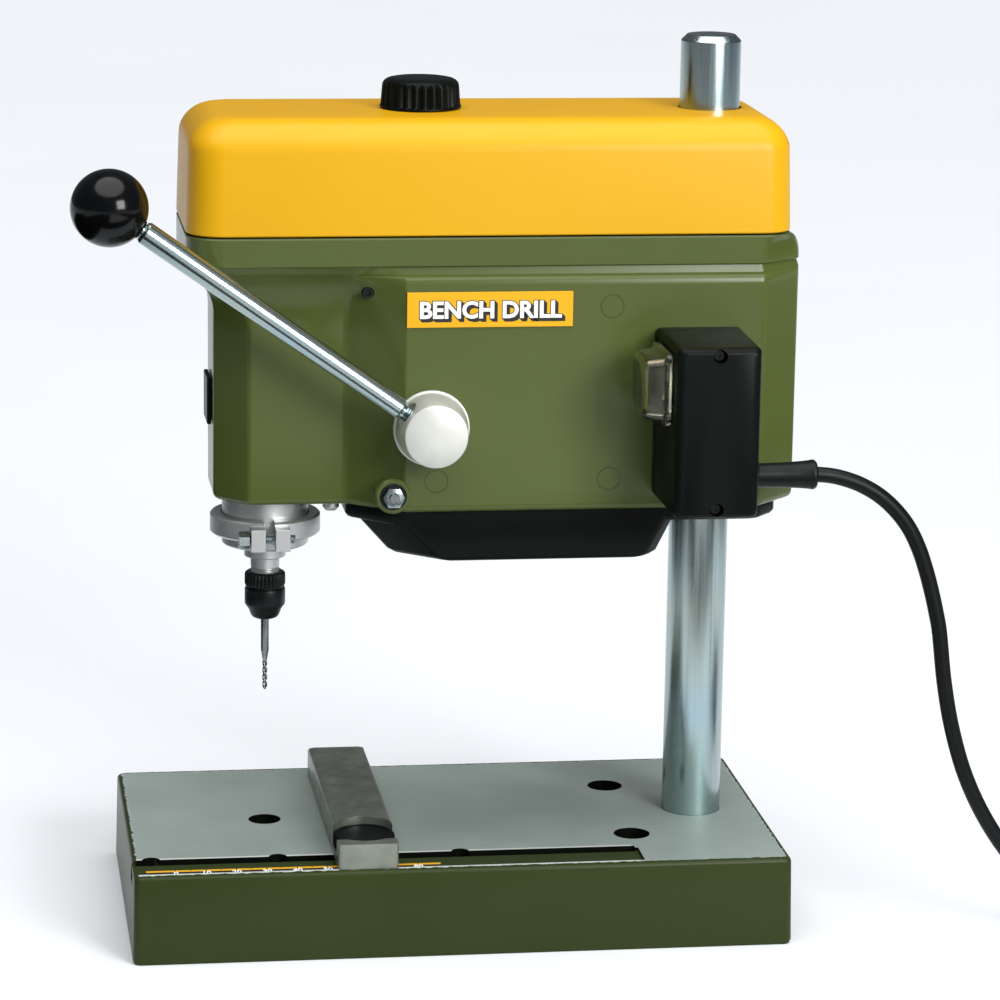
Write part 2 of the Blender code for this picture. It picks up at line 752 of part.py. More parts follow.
def build_switch():
    back = -PANEL_Y - GAP
    box = block("switch_box", (BOX_LEFT, BOX_FRONT_Y, BOX_LOW), (BOX_RIGHT, back, BOX_HIGH))
    rounded(box, 1.6, 2)
    middle_x = (BOX_LEFT + BOX_RIGHT) / 2
    opening = (182.0, 200.4)
    screws = {"upper": BOX_HIGH - 2.7, "lower": BOX_LOW + 3.0}
    room = block(
        "box_room",
        (BOX_LEFT + 2.2, BOX_FRONT_Y + 7, BOX_LOW + 6),
        (BOX_RIGHT - 2.2, back + 1, BOX_HIGH - 6),
    )
    cut(box, room, block("rocker_hole", (BOX_LEFT - 1, -68, opening[0]), (BOX_LEFT + 3, -49, opening[1])))
    for name, z in screws.items():
        seat_front, seat_back = (middle_x, BOX_FRONT_Y - 1, z), (middle_x, BOX_FRONT_Y + 4, z)
        seat = bar("screw_seat_" + name, 2.2, seat_front, seat_back, 16)
        cut(box, seat)
        head = turned(
            "switch_box_screw_" + name,
            [(0, 0), (1.9, -0.3), (1.9, -1.9), (0, -1.9)],
            (middle_x, BOX_FRONT_Y + 1.5, z),
            (0, -1, 0),
            steps=14,
        )
        finish(head, STEEL)
    finish(box, BLACK)
    body = block(
        "switch_body", (BOX_LEFT + 0.4, -67.6, opening[0] + 0.4), (BOX_LEFT + 18, -49.4, opening[1] - 0.4)
    )
    trough = block(
        "rocker_trough", (BOX_LEFT - 1, -66, opening[0] + 2), (BOX_LEFT + 9, -51, opening[1] - 2)
    )
    finish(cut(body, trough), BLACK)
    pivot_x = BOX_LEFT + 4
    pivot_z = sum(opening) / 2
    reach = (opening[1] - opening[0]) / 2 - 3.6
    outline = [(-4.6, reach), (-6.4, -reach), (0, -reach), (2.6, 0), (0, reach)]
    rocker = flat("switch_rocker", outline, 14.0, (pivot_x, -58.5, pivot_z), (math.pi / 2, 0, 0))
    finish(rocker, BLACK)
    cap = block("switch_cap", (BOX_LEFT - 9.2, -71, 180), (BOX_LEFT - GAP, -46, 203.5))
    rounded(cap, 1.2, 2)
    cut(cap, block("cap_room", (BOX_LEFT - 8.0, -69.6, 181.4), (BOX_LEFT + 1, -47.4, 202.1)))
    finish(cap, CLEAR)
    gland = turned(
        "strain_relief",
        [(0, 0), (4.3, 0), (4.9, -1.2), (4.75, -2.6), (4.0, -16), (3.95, -21.7), (0, -21.7)],
        (RELIEF_TIP_X, CORD_Y, 160.6),
        (1, 0, 0),
        steps=20,
    )
    finish(gland, RUBBER)


# Feed lever, quill and spindle


def build_feed():
    hub = turned(
        "lever_hub",
        [
            (0, 2.2),
            (9.9, 2.2),
            (10.4, 1.7),
            (12.0, -11.0),
            (12.6, -11.5),
            (12.6, -12.2),
            (5.1, -12.2),
            (5.1, 0),
            (0, 0),
        ],
        (FEED_X, -50.3, FEED_Z),
        (0, -1, 0),
        steps=36,
    )
    lever = math.radians(LEVER_DEG)
    along = Vector((-math.cos(lever), 0, math.sin(lever)))
    pivot = Vector((FEED_X, LEVER_Y, FEED_Z))
    cut(hub, bar("rod_socket", 3.0, pivot + along * 5.6, pivot + along * 14, 20))
    finish(hub, ALUMINIUM)
    ball = pivot + along * BALL_REACH
    rod = turned(
        "lever_rod",
        [
            (0, BALL_REACH - 8),
            (2.4, BALL_REACH - 8),
            (2.4, BALL_REACH - 12.2),
            (3.8, BALL_REACH - 13.2),
            (3.45, 15.5),
            (2.7, 14.5),
            (2.7, 6.2),
            (0, 6.2),
        ],
        pivot,
        along,
        steps=20,
    )
    finish(rod, PLATED)
    bm = bmesh.new()
    bmesh.ops.create_uvsphere(bm, u_segments=24, v_segments=14, radius=BALL_R * MM)
    knob = put("ball_knob", bm, ball)
    knob.rotation_euler = Vector((0, 0, -1)).rotation_difference(along).to_euler()
    cut(knob, bar("ball_bore", 2.6, ball - along * (BALL_R + 1), ball - along * 4.0, 20))
    finish(knob, BLACK)
    shaft = bar("feed_shaft", 4.95, (FEED_X, -50, FEED_Z), (FEED_X, PANEL_Y - 1, FEED_Z), 32)
    finish(shaft, STEEL)
    pitch_r = SECTOR_TEETH_ROUND * MODULE / 2
    step = 360 / SECTOR_TEETH_ROUND
    outline = []
    slack = math.degrees(TOOTH_SLACK / pitch_r)
    first = int((180 - SECTOR_LAST_DEG) / step)
    last = int((180 - SECTOR_FIRST_DEG) / step)
    for tooth in range(last, first - 1, -1):
        middle = 180 - tooth * step
        for angle, radius in (
            (-step / 4 - 0.72 + slack, pitch_r - 1.25),
            (-step / 4 + 0.5 + slack, pitch_r + 0.85),
            (step / 4 - 0.5 - slack, pitch_r + 0.85),
            (step / 4 + 0.72 - slack, pitch_r - 1.25),
        ):
            turn = math.radians(middle + angle)
            outline.append((radius * math.cos(turn), radius * math.sin(turn)))
    outline += list(arc((0, 0), 8.6, SECTOR_LAST_DEG + 45, SECTOR_FIRST_DEG + 315, 12))
    sector = flat("sector_gear", outline, 7.0, (FEED_X, 0, FEED_Z), (math.pi / 2, 0, 0))
    cut(sector, bar("sector_bore", 5.1, (FEED_X, -6, FEED_Z), (FEED_X, 6, FEED_Z), 32))
    finish(sector, STEEL)


def build_quill():
    flat_x = SPINDLE_X + 11.4
    axis = (SPINDLE_X, 0, 0)
    quill = tube_ring("quill_sleeve", QUILL_R, QUILL_BORE_R, QUILL_FOOT, QUILL_TOP, axis, steps=48)
    rack_low, rack_high = 163.0, QUILL_TOP - 0.5
    seat = block("rack_seat", (flat_x, -8, rack_low - 0.3), (flat_x + 9, 8, QUILL_TOP + 1))
    finish(cut(quill, seat), STEEL)
    pitch = math.pi * MODULE
    root_x, tip_x = RACK_X - 1.25, RACK_X + 0.85
    outline = [(flat_x + 0.15, rack_high), (flat_x + 0.15, rack_low)]
    first = math.ceil((rack_low - FEED_Z) / pitch - 0.5) + 1
    count = int((rack_high - rack_low) / pitch) - 2
    for tooth in range(first, first + count):
        middle = FEED_Z + (tooth + 0.5) * pitch
        outline += [
            (root_x, middle - pitch / 4 - 0.44),
            (tip_x, middle - pitch / 4 + 0.3),
            (tip_x, middle + pitch / 4 - 0.3),
            (root_x, middle + pitch / 4 + 0.44),
        ]
    outline.insert(2, (root_x, rack_low))
    outline.append((root_x, rack_high))
    rack = flat("quill_rack", outline, 7.0, (0, 0, 0), (math.pi / 2, 0, 0))
    finish(rack, STEEL)
    collar = tube_ring("clamp_collar", COLLAR_R, QUILL_R + GAP, COLLAR_LOW, COLLAR_HIGH, (SPINDLE_X, 0, 0))
    for side in (-1, 1):
        inner, outer = sorted((side * 1.55, side * 6.65))
        lug = block(
            f"collar_lug_{side + 1}",
            (SPINDLE_X + inner, LUG_FRONT_Y, COLLAR_LOW - 1.8),
            (SPINDLE_X + outer, LUG_BACK_Y, COLLAR_LOW + 5.7),
        )
        join(collar, lug)
    split = block(
        "collar_split",
        (SPINDLE_X - 1.55, LUG_FRONT_Y - 1, COLLAR_LOW - 3),
        (SPINDLE_X + 1.55, LUG_BACK_Y + 4, COLLAR_HIGH + 1),
    )
    bolt_y = LUG_BACK_Y - 4.2
    bolt_z = COLLAR_LOW + 1.9
    bore = bar("collar_bolt_bore", 1.7, (SPINDLE_X - 8, bolt_y, bolt_z), (SPINDLE_X + 8, bolt_y, bolt_z), 16)
    finish(cut(collar, split, bore), STEEL)
    bolt = bar("collar_bolt", 1.5, (SPINDLE_X - 8, bolt_y, bolt_z), (SPINDLE_X + 8.5, bolt_y, bolt_z), 12)
    head_left, head_right = (SPINDLE_X - 10.5, bolt_y, bolt_z), (SPINDLE_X - 6.9, bolt_y, bolt_z)
    join(bolt, bar("collar_bolt_head", 2.9, head_left, head_right, 6))
    finish(bolt, STEEL)
    for name, low in (("upper_bearing", QUILL_TOP - 8), ("lower_bearing", QUILL_FOOT + 1)):
        made = tube_ring(name, QUILL_BORE_R - 0.1, SHAFT_R + 0.1, low, low + 6, (SPINDLE_X, 0, 0), steps=24)
        finish(made, STEEL)


def build_spindle():
    axis = (SPINDLE_X, 0, 0)
    shaft = turned(
        "spindle_shaft",
        [
            (0, SPINDLE_TOP),
            (SHAFT_R - 0.4, SPINDLE_TOP),
            (SHAFT_R - 0.4, 216),
            (SHAFT_R, 214),
            (SHAFT_R, 127.5),
            (6.2, 127),
            (7.0, 126),
            (7.0, 122.9),
            (4.85, 122.4),
            (4.85, 113),
            (3.0, 113),
            (3.0, 116),
            (0, 116),
        ],
        axis,
        steps=28,
    )
    drive = bar("spindle_drive", DRIVE_R, (SPINDLE_X, 0, 218), (SPINDLE_X, 0, SPINDLE_TOP - 0.5), 6)
    finish(join(shaft, drive), STEEL)
    nut = turned(
        "collet_nut",
        [
            (6.4, 117.5),
            (6.85, 117.0),
            (6.85, 112.8),
            (6.3, 112.6),
            (6.3, 112.0),
            (6.85, 111.8),
            (6.85, 106.2),
            (5.6, 104.3),
            (4.4, 101.6),
            (3.1, 101.6),
            (3.1, 112),
            (5.0, 112.4),
            (5.0, 117.5),
        ],
        axis,
        steps=24,
        ring=True,
    )
    finish(nut, BLACK)
    collet = tube_ring("collet", 2.85, 1.5, 101.2, 115.6, axis, steps=20)
    finish(collet, STEEL)
    drill = turned(
        "drill_bit",
        [
            (0, 115),
            (1.375, 115),
            (1.375, 89.4),
            (0.85, 86.5),
            (0.85, DRILL_TIP + 0.4),
            (0, DRILL_TIP),
        ],
        axis,
        steps=16,
    )
    finish(drill, STEEL)


# Cord


def smooth_line(points, spacing):
    """Evenly spaced points on a smooth curve through a cord's own points."""
    knots = [Vector(point) for point in points]
    padded = [knots[0] * 2 - knots[1], *knots, knots[-1] * 2 - knots[-2]]
    dense = []
    for before, start, end, after in zip(padded, padded[1:], padded[2:], padded[3:]):
        for i in range(20):
            t = i / 20
            bend = 2 * before - 5 * start + 4 * end - after
            twist = 3 * (start - end) + after - before
            dense.append(start + ((end - before) * t + bend * t * t + twist * t**3) / 2)
    dense.append(knots[-1])
    line, gone = [dense[0]], 0.0
    for first, second in zip(dense, dense[1:]):
        gone += (second - first).length
        if gone >= spacing:
            line.append(second)
            gone = 0.0
    line[-1] = dense[-1]
    return line


CORD_ROUTE = [
    (RELIEF_TIP_X + 0.13 * CORD_R, 160.6),
    (118.2, 160.1),
    (122.9, 159.0),
    (128.7, 156.8),
    (134.8, 153.2),
    (140.3, 148.3),
    (145.0, 142.3),
    (148.6, 135.2),
    (151.3, 127.6),
    (153.3, 120.6),
    (154.9, 113.9),
    (156.3, 106.6),
    (158.4, 90.1),
    (161.6, 74.0),
    (166.8, 57.5),
    (174.5, 42.0),
    (184.5, 28.0),
    (196.5, 16.5),
    (210.0, 8.6),
    (224.0, 4.4),
    (238.0, 2.8),
]


def build_cord():
    last = len(CORD_ROUTE) - 1
    drift = CORD_END_Y - CORD_Y
    route = [(x, CORD_Y + drift * (i / last) ** 2, z) for i, (x, z) in enumerate(CORD_ROUTE)]
    line = smooth_line(route, 5.0)
    curve = bpy.data.curves.new("cord", "CURVE")
    curve.dimensions = "3D"
    curve.bevel_depth = CORD_R * MM
    curve.bevel_resolution = 2
    curve.use_fill_caps = True
    spline = curve.splines.new("POLY")
    spline.points.add(len(line) - 1)
    for point, place in zip(spline.points, line):
        point.co = (*(place * MM), 1)
    cord = bpy.data.objects.new("cord", curve)
    PRESS.objects.link(cord)
    finish(cord, RUBBER)
    low, high = GAP / 3, 4 * CORD_R
    outer = COIL_R + COIL_SPREAD / 2 + CORD_R
    inner = COIL_R - COIL_SPREAD / 2 - CORD_R
    profile = [
        (outer - 1.5, high),
        (outer, high - 1.5),
        (outer, low + 1),
        (outer - 1, low),
        (inner + 1, low),
        (inner, low + 1),
        (inner, high - 1.5),
        (inner + 1.5, high),
    ]
    run_in = COIL_X - CORD_ROUTE[-1][0]
    coil_y = CORD_END_Y + CORD_R + COIL_CLEAR + math.sqrt(outer**2 - run_in**2)
    finish(turned("cord_coil", profile, (COIL_X, coil_y, 0), steps=40, ring=True), RUBBER)
    build_plug(COIL_X + COIL_R + COIL_SPREAD / 2, coil_y)


def build_plug(x, coil_y):
    """A flat two-pin plug beside the coil, which the cord's last turn runs into."""
    middle = PLUG_HALF_HIGH + GAP / 3
    sections = (
        (PLUG_START, 2.8, 2.8),
        (PLUG_START + 12, 3.8, 3.4),
        (PLUG_START + 20, 11, 4.9),
        (PLUG_START + 22, PLUG_HALF_WIDE, PLUG_HALF_HIGH),
        (PLUG_START + 34, PLUG_HALF_WIDE, PLUG_HALF_HIGH),
        (PLUG_START + 35.4, PLUG_HALF_WIDE - 1, PLUG_HALF_HIGH - 0.8),
    )
    rings = []
    for along, half_wide, half_high in sections:
        corner = min(half_wide, half_high) * 0.8
        outline = rounded_plan(-half_wide, half_wide, half_high, corner, corner, 3)
        rings.append([(x + a, coil_y + along, middle + b) for a, b in outline])
    finish(loft("plug_body", rings, (x, coil_y + PLUG_START, middle)), RUBBER)
    face = coil_y + PLUG_START + 35.4 + GAP
    for name, side in (("left", -1), ("right", 1)):
        pin_x = x + side * PIN_SPACING / 2
        pin = bar("plug_pin_" + name, PIN_R, (pin_x, face, middle), (pin_x, face + PIN_LONG, middle), 16)
        finish(pin, STEEL)


def main():
    build_base()
    build_fence()
    build_housing()
    build_tub()
    build_motor()
    build_drive()
    build_cover()
    build_head_trim()
    build_switch()
    build_feed()
    build_quill()
    build_spindle()
    build_cord()


main()
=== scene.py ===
"""Looks of a small bench drill press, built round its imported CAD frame.

Every size is in millimetres and becomes metres through MM. Places come from the boxes of the CAD nodes.
"""

from __future__ import annotations

import json
import logging
import math
from collections.abc import Iterable, Sequence
from dataclasses import dataclass, field
from enum import Enum

import bmesh
import bpy
from mathutils import Matrix, Vector

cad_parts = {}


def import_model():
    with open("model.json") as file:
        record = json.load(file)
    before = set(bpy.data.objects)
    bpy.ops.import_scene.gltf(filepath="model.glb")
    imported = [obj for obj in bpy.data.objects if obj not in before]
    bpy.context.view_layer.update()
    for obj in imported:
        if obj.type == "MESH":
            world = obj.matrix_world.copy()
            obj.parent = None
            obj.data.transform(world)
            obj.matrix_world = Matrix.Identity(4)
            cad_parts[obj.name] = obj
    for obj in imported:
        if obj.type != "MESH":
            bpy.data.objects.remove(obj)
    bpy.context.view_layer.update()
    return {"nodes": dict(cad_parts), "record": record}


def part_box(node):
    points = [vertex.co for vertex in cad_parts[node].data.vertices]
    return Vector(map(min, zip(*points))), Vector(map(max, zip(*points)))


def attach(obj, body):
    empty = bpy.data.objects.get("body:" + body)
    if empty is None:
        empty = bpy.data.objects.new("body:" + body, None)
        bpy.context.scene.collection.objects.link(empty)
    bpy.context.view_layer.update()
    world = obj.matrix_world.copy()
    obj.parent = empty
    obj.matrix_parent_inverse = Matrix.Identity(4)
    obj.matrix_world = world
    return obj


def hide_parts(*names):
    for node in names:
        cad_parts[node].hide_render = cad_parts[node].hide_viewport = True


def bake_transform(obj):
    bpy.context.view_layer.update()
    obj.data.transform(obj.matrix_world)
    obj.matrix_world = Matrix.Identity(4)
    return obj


MM = 0.001
LOG = logging.getLogger("drill_press")

Point = tuple[float, float, float]
Plan = list[tuple[float, float]]


class Body(str, Enum):
    """The rigid bodies that pieces ride on."""

    BASE = "base"
    HEAD = "head"
    LEVER = "feed_lever"
    QUILL = "quill"
    SPINDLE = "spindle"
    NUT = "collet_nut"
    COVER = "cover"
    COVER_KNOB = "cover_knob"
    FENCE = "fence"
    FENCE_WHEEL = "fence_wheel"
    ROCKER = "switch_rocker"


# Finishes


def linear(code: str) -> tuple[float, float, float, float]:
    """Turns an sRGB hex colour into the linear one that shaders take.

    Args:
        code: six hex digits after a hash mark.

    Returns:
        Linear red, green and blue, and an alpha of 1.
    """
    channels = [int(code[i : i + 2], 16) / 255 for i in (1, 3, 5)]
    red, green, blue = (c / 12.92 if c <= 0.04045 else ((c + 0.055) / 1.055) ** 2.4 for c in channels)
    return red, green, blue, 1.0


def add_node(
    tree: bpy.types.NodeTree, kind: str, inputs: dict[str | int, object] | None = None, **settings: object
) -> bpy.types.Node:
    """Adds one shader node with its settings, values and links.

    Args:
        tree: the tree that it joins.
        kind: Blender's name for the type of node.
        inputs: an input's name or number, and a value or the output that feeds it.
        settings: the node's own settings.

    Returns:
        The new node.
    """
    node = tree.nodes.new(kind)
    for name, value in settings.items():
        setattr(node, name, value)
    for name, value in (inputs or {}).items():
        if isinstance(value, bpy.types.NodeSocket):
            tree.links.new(value, node.inputs[name])
        else:
            node.inputs[name].default_value = value
    return node


def per_mm(size: float) -> float:
    """The texture scale whose features are about this many millimetres."""
    return 1 / (size * MM)


@dataclass(frozen=True)
class Finish:
    """A surface with mottled colour, uneven gloss and a fine relief."""

    name: str
    colour: str
    shade: str
    roughness: float = 0.4
    rough_spread: float = 0.08
    metallic: float = 0.0
    ior: float = 1.5
    mottle_mm: float = 12.0
    grain_mm: float = 0.5
    relief: float = 0.1
    relief_mm: float = 0.02
    coat: float = 0.0
    coat_roughness: float = 0.05
    specular: float = 0.5
    stretch: Point = (1.0, 1.0, 1.0)

    def build(self) -> bpy.types.Material:
        """Makes the material once, and gives it again when asked for again."""
        found = bpy.data.materials.get(self.name)
        if found:
            return found
        made = bpy.data.materials.new(self.name)
        made.use_nodes = True
        tree = made.node_tree
        shader = tree.nodes["Principled BSDF"]
        shader.inputs["Metallic"].default_value = self.metallic
        if not self.metallic:
            shader.inputs["IOR"].default_value = self.ior
        shader.inputs["Specular IOR Level"].default_value = self.specular
        shader.inputs["Coat Weight"].default_value = self.coat
        shader.inputs["Coat Roughness"].default_value = self.coat_roughness
        self.pattern(tree, shader)
        return made

    def place(self, tree: bpy.types.NodeTree) -> bpy.types.NodeSocket:
        """Coordinates on the piece, stretched as the pattern is."""
        where = add_node(tree, "ShaderNodeTexCoord")
        scaled = add_node(
            tree, "ShaderNodeVectorMath", {0: where.outputs["Object"], 1: self.stretch}, operation="MULTIPLY"
        )
        return scaled.outputs[0]

    def noise(
        self, tree: bpy.types.NodeTree, where: bpy.types.NodeSocket, size: float, detail: float = 3.0
    ) -> bpy.types.NodeSocket:
        """Cloudy noise with features of one size in millimetres."""
        inputs = {"Vector": where, "Scale": per_mm(size), "Detail": detail}
        return add_node(tree, "ShaderNodeTexNoise", inputs).outputs["Fac"]

    def spread(
        self, tree: bpy.types.NodeTree, source: bpy.types.NodeSocket, low: float, high: float
    ) -> bpy.types.NodeSocket:
        """Maps noise from its usual range to the one asked for."""
        inputs = {"Value": source, "From Min": 0.2, "From Max": 0.8, "To Min": low, "To Max": high}
        return add_node(tree, "ShaderNodeMapRange", inputs).outputs[0]

    def mixed(
        self,
        tree: bpy.types.NodeTree,
        share: bpy.types.NodeSocket,
        first: object,
        second: object,
    ) -> bpy.types.NodeSocket:
        """A colour between two, by a share."""
        node = add_node(tree, "ShaderNodeMix", {0: share, 6: first, 7: second}, data_type="RGBA")
        return node.outputs[2]

    def raised(
        self, tree: bpy.types.NodeTree, height: bpy.types.NodeSocket, depth: float, strength: float
    ) -> bpy.types.NodeSocket:
        """A bumped normal, from a height and its depth in millimetres."""
        inputs = {"Height": height, "Distance": depth * MM, "Strength": strength}
        return add_node(tree, "ShaderNodeBump", inputs).outputs[0]

    def pattern(self, tree: bpy.types.NodeTree, shader: bpy.types.Node) -> None:
        """Wires colour, gloss and relief.

        Args:
            tree: the material's nodes.
            shader: its Principled shader.
        """
        where = self.place(tree)
        cloud = self.noise(tree, where, self.mottle_mm)
        colour = self.mixed(tree, self.spread(tree, cloud, 0, 1), linear(self.shade), linear(self.colour))
        fine = self.noise(tree, where, self.grain_mm, 2.0)
        blotch = self.noise(tree, where, self.mottle_mm / 3)
        low, high = self.roughness - self.rough_spread, self.roughness + self.rough_spread
        tree.links.new(colour, shader.inputs["Base Color"])
        tree.links.new(self.spread(tree, blotch, low, high), shader.inputs["Roughness"])
        tree.links.new(self.raised(tree, fine, self.relief_mm, self.relief), shader.inputs["Normal"])


@dataclass(frozen=True)
class TurnedFinish(Finish):
    """Metal off a lathe: the tool leaves rings round the piece's own Z axis."""

    ring_mm: float = 0.5
    rings: float = 0.35

    def pattern(self, tree: bpy.types.NodeTree, shader: bpy.types.Node) -> None:
        """Wires rings that follow the distance from the axis and the height on it."""
        where = add_node(tree, "ShaderNodeTexCoord").outputs["Object"]
        flat = add_node(tree, "ShaderNodeVectorMath", {0: where, 1: (1, 1, 0)}, operation="MULTIPLY")
        reach = add_node(tree, "ShaderNodeVectorMath", {0: flat.outputs[0]}, operation="LENGTH")
        height = add_node(tree, "ShaderNodeSeparateXYZ", {0: where})
        along = add_node(tree, "ShaderNodeCombineXYZ", {0: reach.outputs["Value"], 1: height.outputs[2]})
        rings = self.noise(tree, along.outputs[0], self.ring_mm, 4.0)
        cloud = self.noise(tree, where, self.mottle_mm)
        colour = self.mixed(tree, self.spread(tree, cloud, 0, 1), linear(self.shade), linear(self.colour))
        low, high = self.roughness - self.rough_spread, self.roughness + self.rough_spread
        tree.links.new(colour, shader.inputs["Base Color"])
        tree.links.new(self.spread(tree, rings, low, high), shader.inputs["Roughness"])
        tree.links.new(self.raised(tree, rings, self.relief_mm, self.rings), shader.inputs["Normal"])


@dataclass(frozen=True)
class PlatedFinish(Finish):
    """Bright zinc plate over drawn steel: long draw marks, and a blue to straw passivation tint."""

    straw: str = "#CBC9AE"
    streak_mm: float = 1.1
    streak_long: float = 0.012

    def pattern(self, tree: bpy.types.NodeTree, shader: bpy.types.Node) -> None:
        """Wires streaks along the piece's own Z axis, and the tint that drifts along them."""
        where = add_node(tree, "ShaderNodeTexCoord").outputs["Object"]
        long = add_node(
            tree, "ShaderNodeVectorMath", {0: where, 1: (1, 1, self.streak_long)}, operation="MULTIPLY"
        ).outputs[0]
        streaks = self.noise(tree, long, self.streak_mm, 4.0)
        broad = self.noise(tree, long, self.streak_mm * 7, 2.0)
        drift = self.noise(tree, where, self.mottle_mm, 3.0)
        tint = self.mixed(tree, self.spread(tree, drift, 0, 0.75), linear(self.colour), linear(self.straw))
        colour = self.mixed(tree, self.spread(tree, broad, 0, 0.7), tint, linear(self.shade))
        low, high = self.roughness - self.rough_spread, self.roughness + self.rough_spread
        tree.links.new(colour, shader.inputs["Base Color"])
        tree.links.new(self.spread(tree, streaks, low, high), shader.inputs["Roughness"])
        tree.links.new(self.raised(tree, streaks, self.relief_mm, self.relief), shader.inputs["Normal"])


@dataclass(frozen=True)
class GroundCasting(Finish):
    """An enamelled iron casting, surface ground on top after painting, so the paint ends in a ragged line."""

    metal: str = "#AAB6B0"
    metal_dark: str = "#939F99"
    # Bare steel at chips along the paint line, and also the painted highlight along the slot's back edge.
    bare_steel_and_highlight: str = "#D9DFDC"
    # Painted shade: near black in the slot, the holes and the walls inside the outline.
    recess_shade: str = "#080A06"
    level_mm: float = 29.6
    half_long_mm: float = 107.8
    half_deep_mm: float = 57.3
    ragged_mm: float = 3.0
    slot_edge_mm: float = -41.0
    slot_end_mm: float = 58.5
    metal_share: float = 0.55

    def band(
        self, tree: bpy.types.NodeTree, source: bpy.types.NodeSocket, low: float, high: float
    ) -> bpy.types.NodeSocket:
        """A share that goes from 0 at low to 1 at high, in metres."""
        inputs = {"Value": source, "From Min": low, "From Max": high}
        return add_node(tree, "ShaderNodeMapRange", inputs, interpolation_type="SMOOTHSTEP").outputs[0]

    def both(
        self, tree: bpy.types.NodeTree, first: bpy.types.NodeSocket, second: bpy.types.NodeSocket
    ) -> bpy.types.NodeSocket:
        """The product of two shares."""
        return add_node(tree, "ShaderNodeMath", {0: first, 1: second}, operation="MULTIPLY").outputs[0]

    def pattern(self, tree: bpy.types.NodeTree, shader: bpy.types.Node) -> None:
        """Wires enamel below, ground metal above, the ragged line between them, painted shade in the
        recesses, and worn steel with a painted highlight along the slot's back edge.
        """
        where = add_node(tree, "ShaderNodeTexCoord").outputs["Object"]
        parts = add_node(tree, "ShaderNodeSeparateXYZ", {0: where})
        facing = add_node(tree, "ShaderNodeNewGeometry").outputs["Normal"]
        up = add_node(tree, "ShaderNodeSeparateXYZ", {0: facing}).outputs[2]
        wander = self.spread(tree, self.noise(tree, where, self.ragged_mm, 4.0), -0.9 * MM, 0.9 * MM)
        edges, inners, flecks = [], [], []
        for socket, half in ((0, self.half_long_mm), (1, self.half_deep_mm)):
            away = add_node(tree, "ShaderNodeMath", {0: parts.outputs[socket]}, operation="ABSOLUTE").outputs[
                0
            ]
            rough = add_node(tree, "ShaderNodeMath", {0: away, 1: wander}, operation="ADD").outputs[0]
            edges.append(self.band(tree, rough, (half + 0.15) * MM, (half - 0.15) * MM))
            flecks.append(self.band(tree, rough, (half - 1.0) * MM, (half - 0.2) * MM))
            inners.append(self.band(tree, away, (half + 0.6) * MM, (half + 0.2) * MM))
        edge, inner = self.both(tree, *edges), self.both(tree, *inners)
        fleck = add_node(tree, "ShaderNodeMath", {0: flecks[0], 1: flecks[1]}, operation="MAXIMUM").outputs[0]
        level = self.band(tree, parts.outputs[2], (self.level_mm - 0.1) * MM, self.level_mm * MM)
        ground = self.both(tree, self.both(tree, level, edge), self.band(tree, up, 0.85, 0.95))
        # Inside the outline, below the ledge and on walls that face sideways, so in the slot and the holes,
        # the surface is painted near black as shade.
        deep = self.band(tree, parts.outputs[2], (self.level_mm - 0.9) * MM, (self.level_mm - 1.6) * MM)
        wall = self.band(tree, up, 0.5, 0.2)
        deep = add_node(tree, "ShaderNodeMath", {0: deep, 1: wall}, operation="MAXIMUM").outputs[0]
        deep = self.both(tree, deep, inner)
        # From the slot's back edge forwards the ground steel is painted bright: partly steel worn bare,
        # partly a painted highlight on the edge.
        near = self.band(
            tree, parts.outputs[1], (self.slot_edge_mm + 1.5) * MM, (self.slot_edge_mm + 1.0) * MM
        )
        beside = self.band(tree, parts.outputs[0], self.slot_end_mm * MM, (self.slot_end_mm - 1.0) * MM)
        worn_and_highlight = self.both(tree, near, beside)
        # Surface grinding leaves fine lines along the table.
        along = add_node(tree, "ShaderNodeVectorMath", {0: where, 1: (0.03, 1, 1)}, operation="MULTIPLY")
        lines = self.noise(tree, along.outputs[0], 0.6, 4.0)
        cloud = self.noise(tree, where, self.mottle_mm * 2.5, 4.0)
        metal = self.mixed(tree, self.spread(tree, cloud, 0, 1), linear(self.metal_dark), linear(self.metal))
        metal = self.mixed(tree, self.spread(tree, lines, 0, 0.25), metal, linear(self.metal_dark))
        chips = self.spread(tree, self.noise(tree, where, 1.3, 2.0), -0.8, 1.0)
        metal = self.mixed(tree, self.both(tree, fleck, chips), metal, linear(self.bare_steel_and_highlight))
        # Worn bare steel with a painted highlight along the slot's back edge.
        metal = self.mixed(tree, worn_and_highlight, metal, linear(self.bare_steel_and_highlight))
        paint = self.mixed(tree, self.spread(tree, cloud, 0, 1), linear(self.shade), linear(self.colour))
        # Painted shade: the slot, the holes and the walls inside the outline turn near black.
        paint = self.mixed(tree, deep, paint, linear(self.recess_shade))
        rough_metal = self.spread(tree, lines, 0.5, 0.66)
        peel = self.noise(tree, where, self.grain_mm, 2.0)
        gloss = add_node(
            tree, "ShaderNodeMix", {0: ground, 2: self.roughness, 3: rough_metal}, data_type="FLOAT"
        ).outputs[0]
        height = add_node(tree, "ShaderNodeMix", {0: ground, 2: peel, 3: lines}, data_type="FLOAT").outputs[0]
        tree.links.new(self.mixed(tree, ground, paint, metal), shader.inputs["Base Color"])
        metallic = add_node(tree, "ShaderNodeMath", {0: ground, 1: self.metal_share}, operation="MULTIPLY")
        tree.links.new(metallic.outputs[0], shader.inputs["Metallic"])
        tree.links.new(gloss, shader.inputs["Roughness"])
        tree.links.new(self.raised(tree, height, self.relief_mm, self.relief), shader.inputs["Normal"])


